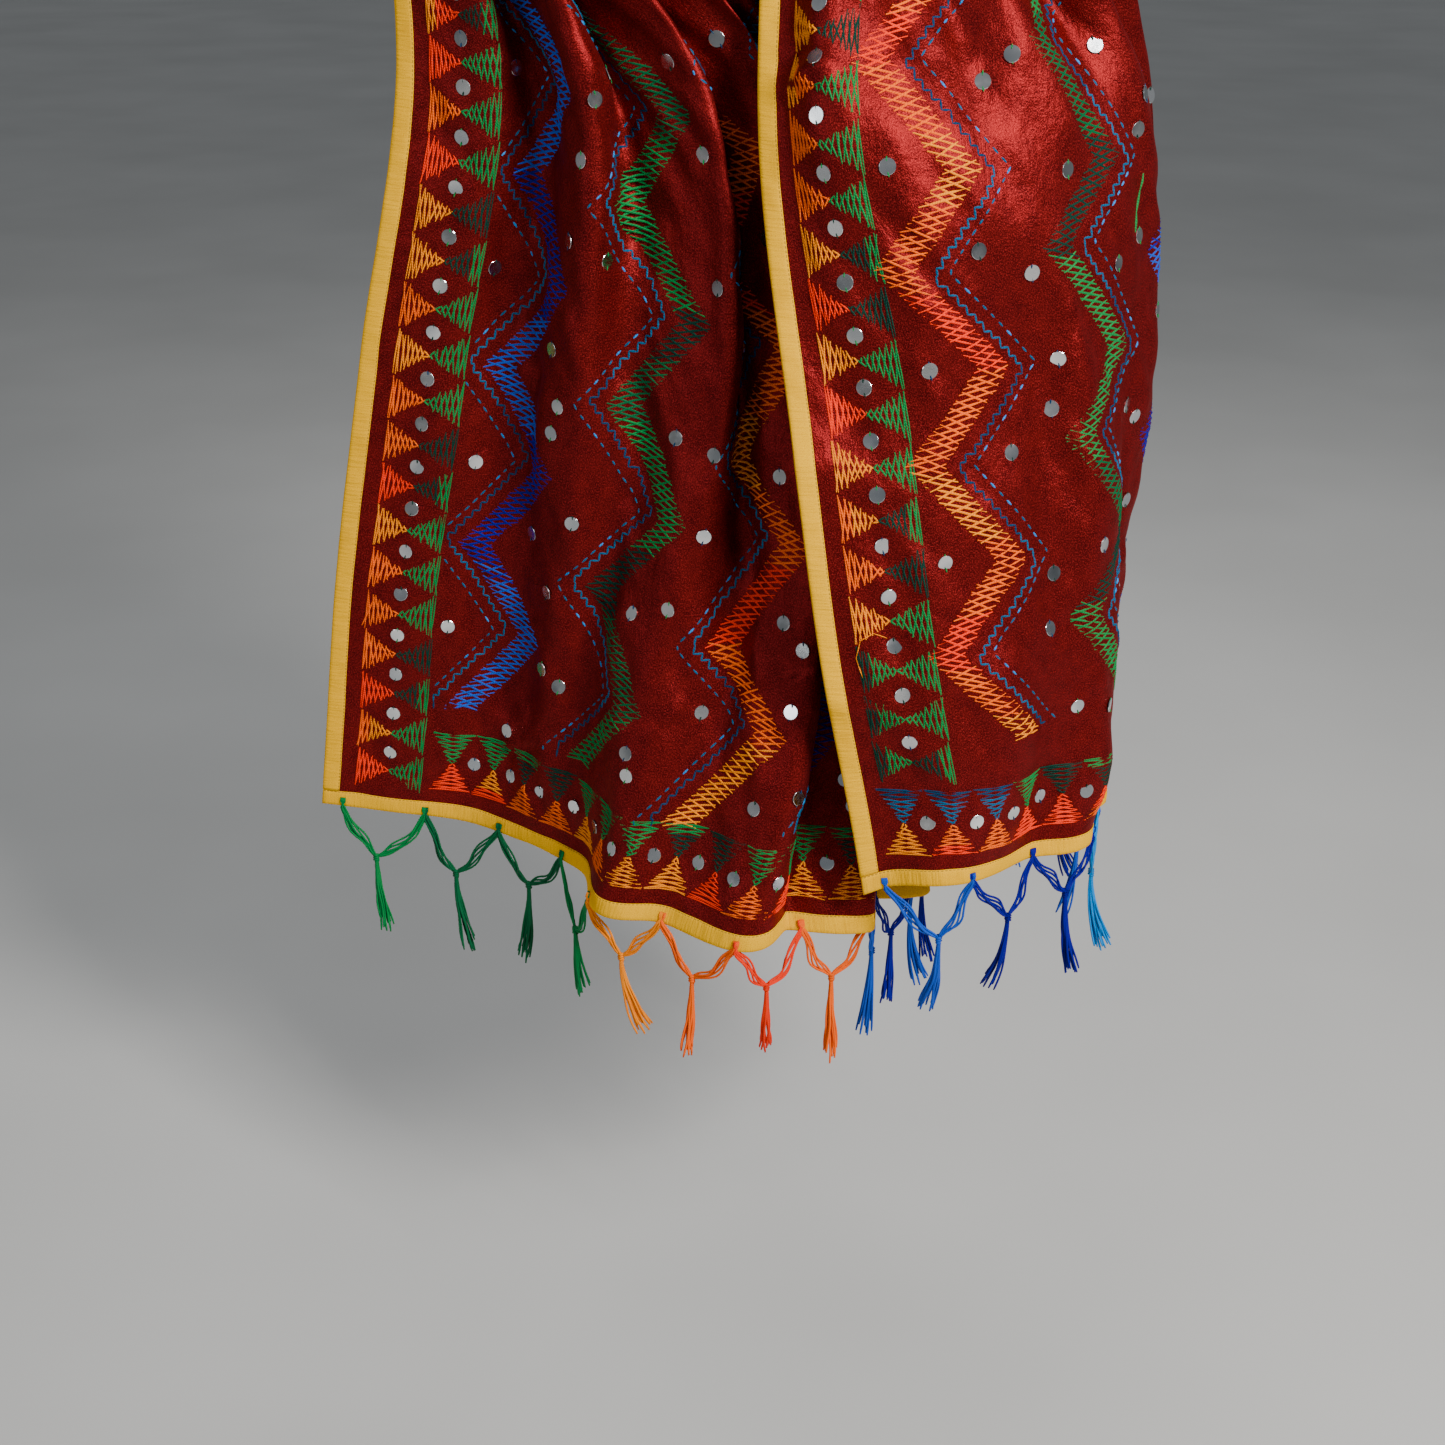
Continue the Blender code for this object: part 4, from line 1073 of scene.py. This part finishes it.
def mirror_material():
    """Silvered plastic discs, a little clouded and scratched."""
    nodes = Nodes("mirror_silver")
    place = nodes.add("ShaderNodeTexCoord").outputs["Object"]
    cloud = nodes.noise(place, (90.0, 90.0, 90.0), 2.0)
    scratch = nodes.noise(place, (1500.0, 300.0, 700.0), 2.0)
    tone = nodes.noise(place, (37.0, 37.0, 37.0), 0.0)
    nodes.feed(nodes.mix((0.52, 0.55, 0.58), (0.90, 0.90, 0.90), nodes.spread(tone, 0.35, 0.65)),
               "Base Color")
    nodes.feed(nodes.spread(cloud, 0.3, 0.75, 0.08, 0.26), "Roughness")
    nodes.feed(nodes.bump(scratch, 0.08, 0.0002), "Normal")
    nodes.shade(Metallic=1.0)
    return nodes.material


def floor_material():
    """Plain pale floor with a faint unevenness."""
    nodes = Nodes("floor_pale")
    place = nodes.add("ShaderNodeTexCoord").outputs["Object"]
    patch = nodes.noise(place, (1.5, 1.5, 1.5), 3.0)
    nodes.feed(nodes.mix((0.50, 0.50, 0.49), (0.56, 0.56, 0.55), nodes.spread(patch, 0.3, 0.7)),
               "Base Color")
    nodes.shade(Roughness=0.9)
    return nodes.material


# Camera of the photograph, floor and lights
CAMERA_PLACE = (0.04, -1.67, -0.16)
CAMERA_DOWN = math.radians(24.6)
LENS = 50.0
SENSOR = 36.0
FLOOR_HEIGHT = -1.47
FLOOR_REACH = 40.0
SURROUND_COLOUR = (0.80, 0.84, 0.88, 1.0)
SURROUND_STRENGTH = 0.26
Lamp = namedtuple("Lamp", "name place target width power colour")
LAMPS = [
    Lamp("key_right", (1.45, -1.85, 0.85), (0.05, -0.10, -0.65), 0.7, 112.0, (1.0, 0.97, 0.93)),
    Lamp("fill_left", (-1.9, -1.5, 0.2), (0.0, -0.10, -0.60), 1.2, 12.0, (0.92, 0.96, 1.0)),
    Lamp("top_back", (0.2, 1.6, 1.5), (0.0, 0.0, -0.45), 1.4, 30.0, (1.0, 1.0, 1.0)),
]


def side_places(across, length):
    """Places along a side line of the cloth, between the tapes of the hems."""
    run = length - 2 * BINDING_WIDTH
    along = np.linspace(BINDING_WIDTH, length - BINDING_WIDTH, round(run / FINE_STEP))
    return np.full(len(along), across), along


def hem_places(along):
    """Places along a hem line of the cloth, from corner to corner."""
    across = np.linspace(0.0, CLOTH_WIDTH, round(CLOTH_WIDTH / FINE_STEP))
    return across, np.full(len(across), along)


def add_bindings(cloth, tape):
    """The yellow tape on both long edges and both hems."""
    length = cloth.length
    margin = BINDING_WIDTH
    tapes = [
        ("tape_outer_edge", "binding_outer_edge", side_places(0.0, length), side_places(margin, length)),
        ("tape_inner_edge", "binding_inner_edge", side_places(CLOTH_WIDTH, length),
         side_places(CLOTH_WIDTH - margin, length)),
        ("tape_left_hem", "hem_binding_left", hem_places(0.0), hem_places(margin)),
        ("tape_right_hem", "hem_binding_right", hem_places(length), hem_places(length - margin)),
    ]
    for name, node, edge_places, inner_places in tapes:
        piece = add_tape(name, cloth, edge_places, inner_places, tape)
        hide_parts(node)


def add_object(name, data):
    """A new object in the scene."""
    made = bpy.data.objects.new(name, data)
    bpy.context.scene.collection.objects.link(made)
    return made


def add_camera():
    """The photograph's camera."""
    camera = add_object("camera", bpy.data.cameras.new("camera"))
    camera.data.lens = LENS
    camera.data.sensor_width = SENSOR
    camera.location = CAMERA_PLACE
    camera.rotation_euler = (math.pi / 2 - CAMERA_DOWN, 0.0, 0.0)
    bpy.context.scene.camera = camera


def add_lights():
    """Soft studio lamps and a dim even surrounding."""
    for lamp in LAMPS:
        light = bpy.data.lights.new(lamp.name, "AREA")
        light.shape = "SQUARE"
        light.size = lamp.width
        light.energy = lamp.power
        light.color = lamp.colour
        holder = add_object(lamp.name, light)
        holder.location = lamp.place
        toward = Vector(lamp.target) - Vector(lamp.place)
        holder.rotation_euler = toward.to_track_quat("-Z", "Y").to_euler()
    world = bpy.data.worlds.new("studio")
    world.use_nodes = True
    background = world.node_tree.nodes["Background"]
    background.inputs["Color"].default_value = SURROUND_COLOUR
    background.inputs["Strength"].default_value = SURROUND_STRENGTH
    bpy.context.scene.world = world


def add_floor():
    """A wide plain floor."""
    mesh = bpy.data.meshes.new("floor")
    corners = [(-1, -1), (1, -1), (1, 1), (-1, 1)]
    mesh.from_pydata([(x * FLOOR_REACH, y * FLOOR_REACH, FLOOR_HEIGHT) for x, y in corners], [],
                     [(0, 1, 2, 3)])
    mesh.materials.append(floor_material())
    add_object("floor", mesh)


cloth = Cloth()
satin = satin_material()
threads = [thread_material(colour) for colour in THREADS]
left_row = round(LEFT_STRETCH / cloth.length * CELLS_ALONG)
right_row = round((cloth.length - RIGHT_STRETCH) / cloth.length * CELLS_ALONG)
stretches = [("satin_left_end", "stole_left_end", 0, left_row),
             ("satin_neck", "stole_neck", left_row, right_row),
             ("satin_right_end", "stole_right_end", right_row, CELLS_ALONG)]
add_bindings(cloth, tape_material())
crosses, lines, borders, holders = Stitches(), Stitches(), Stitches(), Stitches()
mirror_spots = []
add_bands(cloth, crosses, lines)
add_border(cloth, borders, mirror_spots)
mirror_spots += field_mirrors(cloth.length)
add_mirrors(cloth, mirror_spots, mirror_material(), holders)
crosses.make("stitches_bands", cloth, threads)
lines.make("stitches_lines", cloth, threads, 3)
borders.make("stitches_border", cloth, threads)
holders.make("stitches_mirrors", cloth, threads, 3)
add_fringe("left", cloth, 0.0, 1.0, LEFT_YARNS, threads)
add_fringe("right", cloth, cloth.length, -1.0, RIGHT_YARNS, threads)
for name, node, first, last in stretches:
    piece = add_cloth(name, cloth, first, last, satin)
    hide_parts(node)
add_camera()
add_lights()
add_floor()
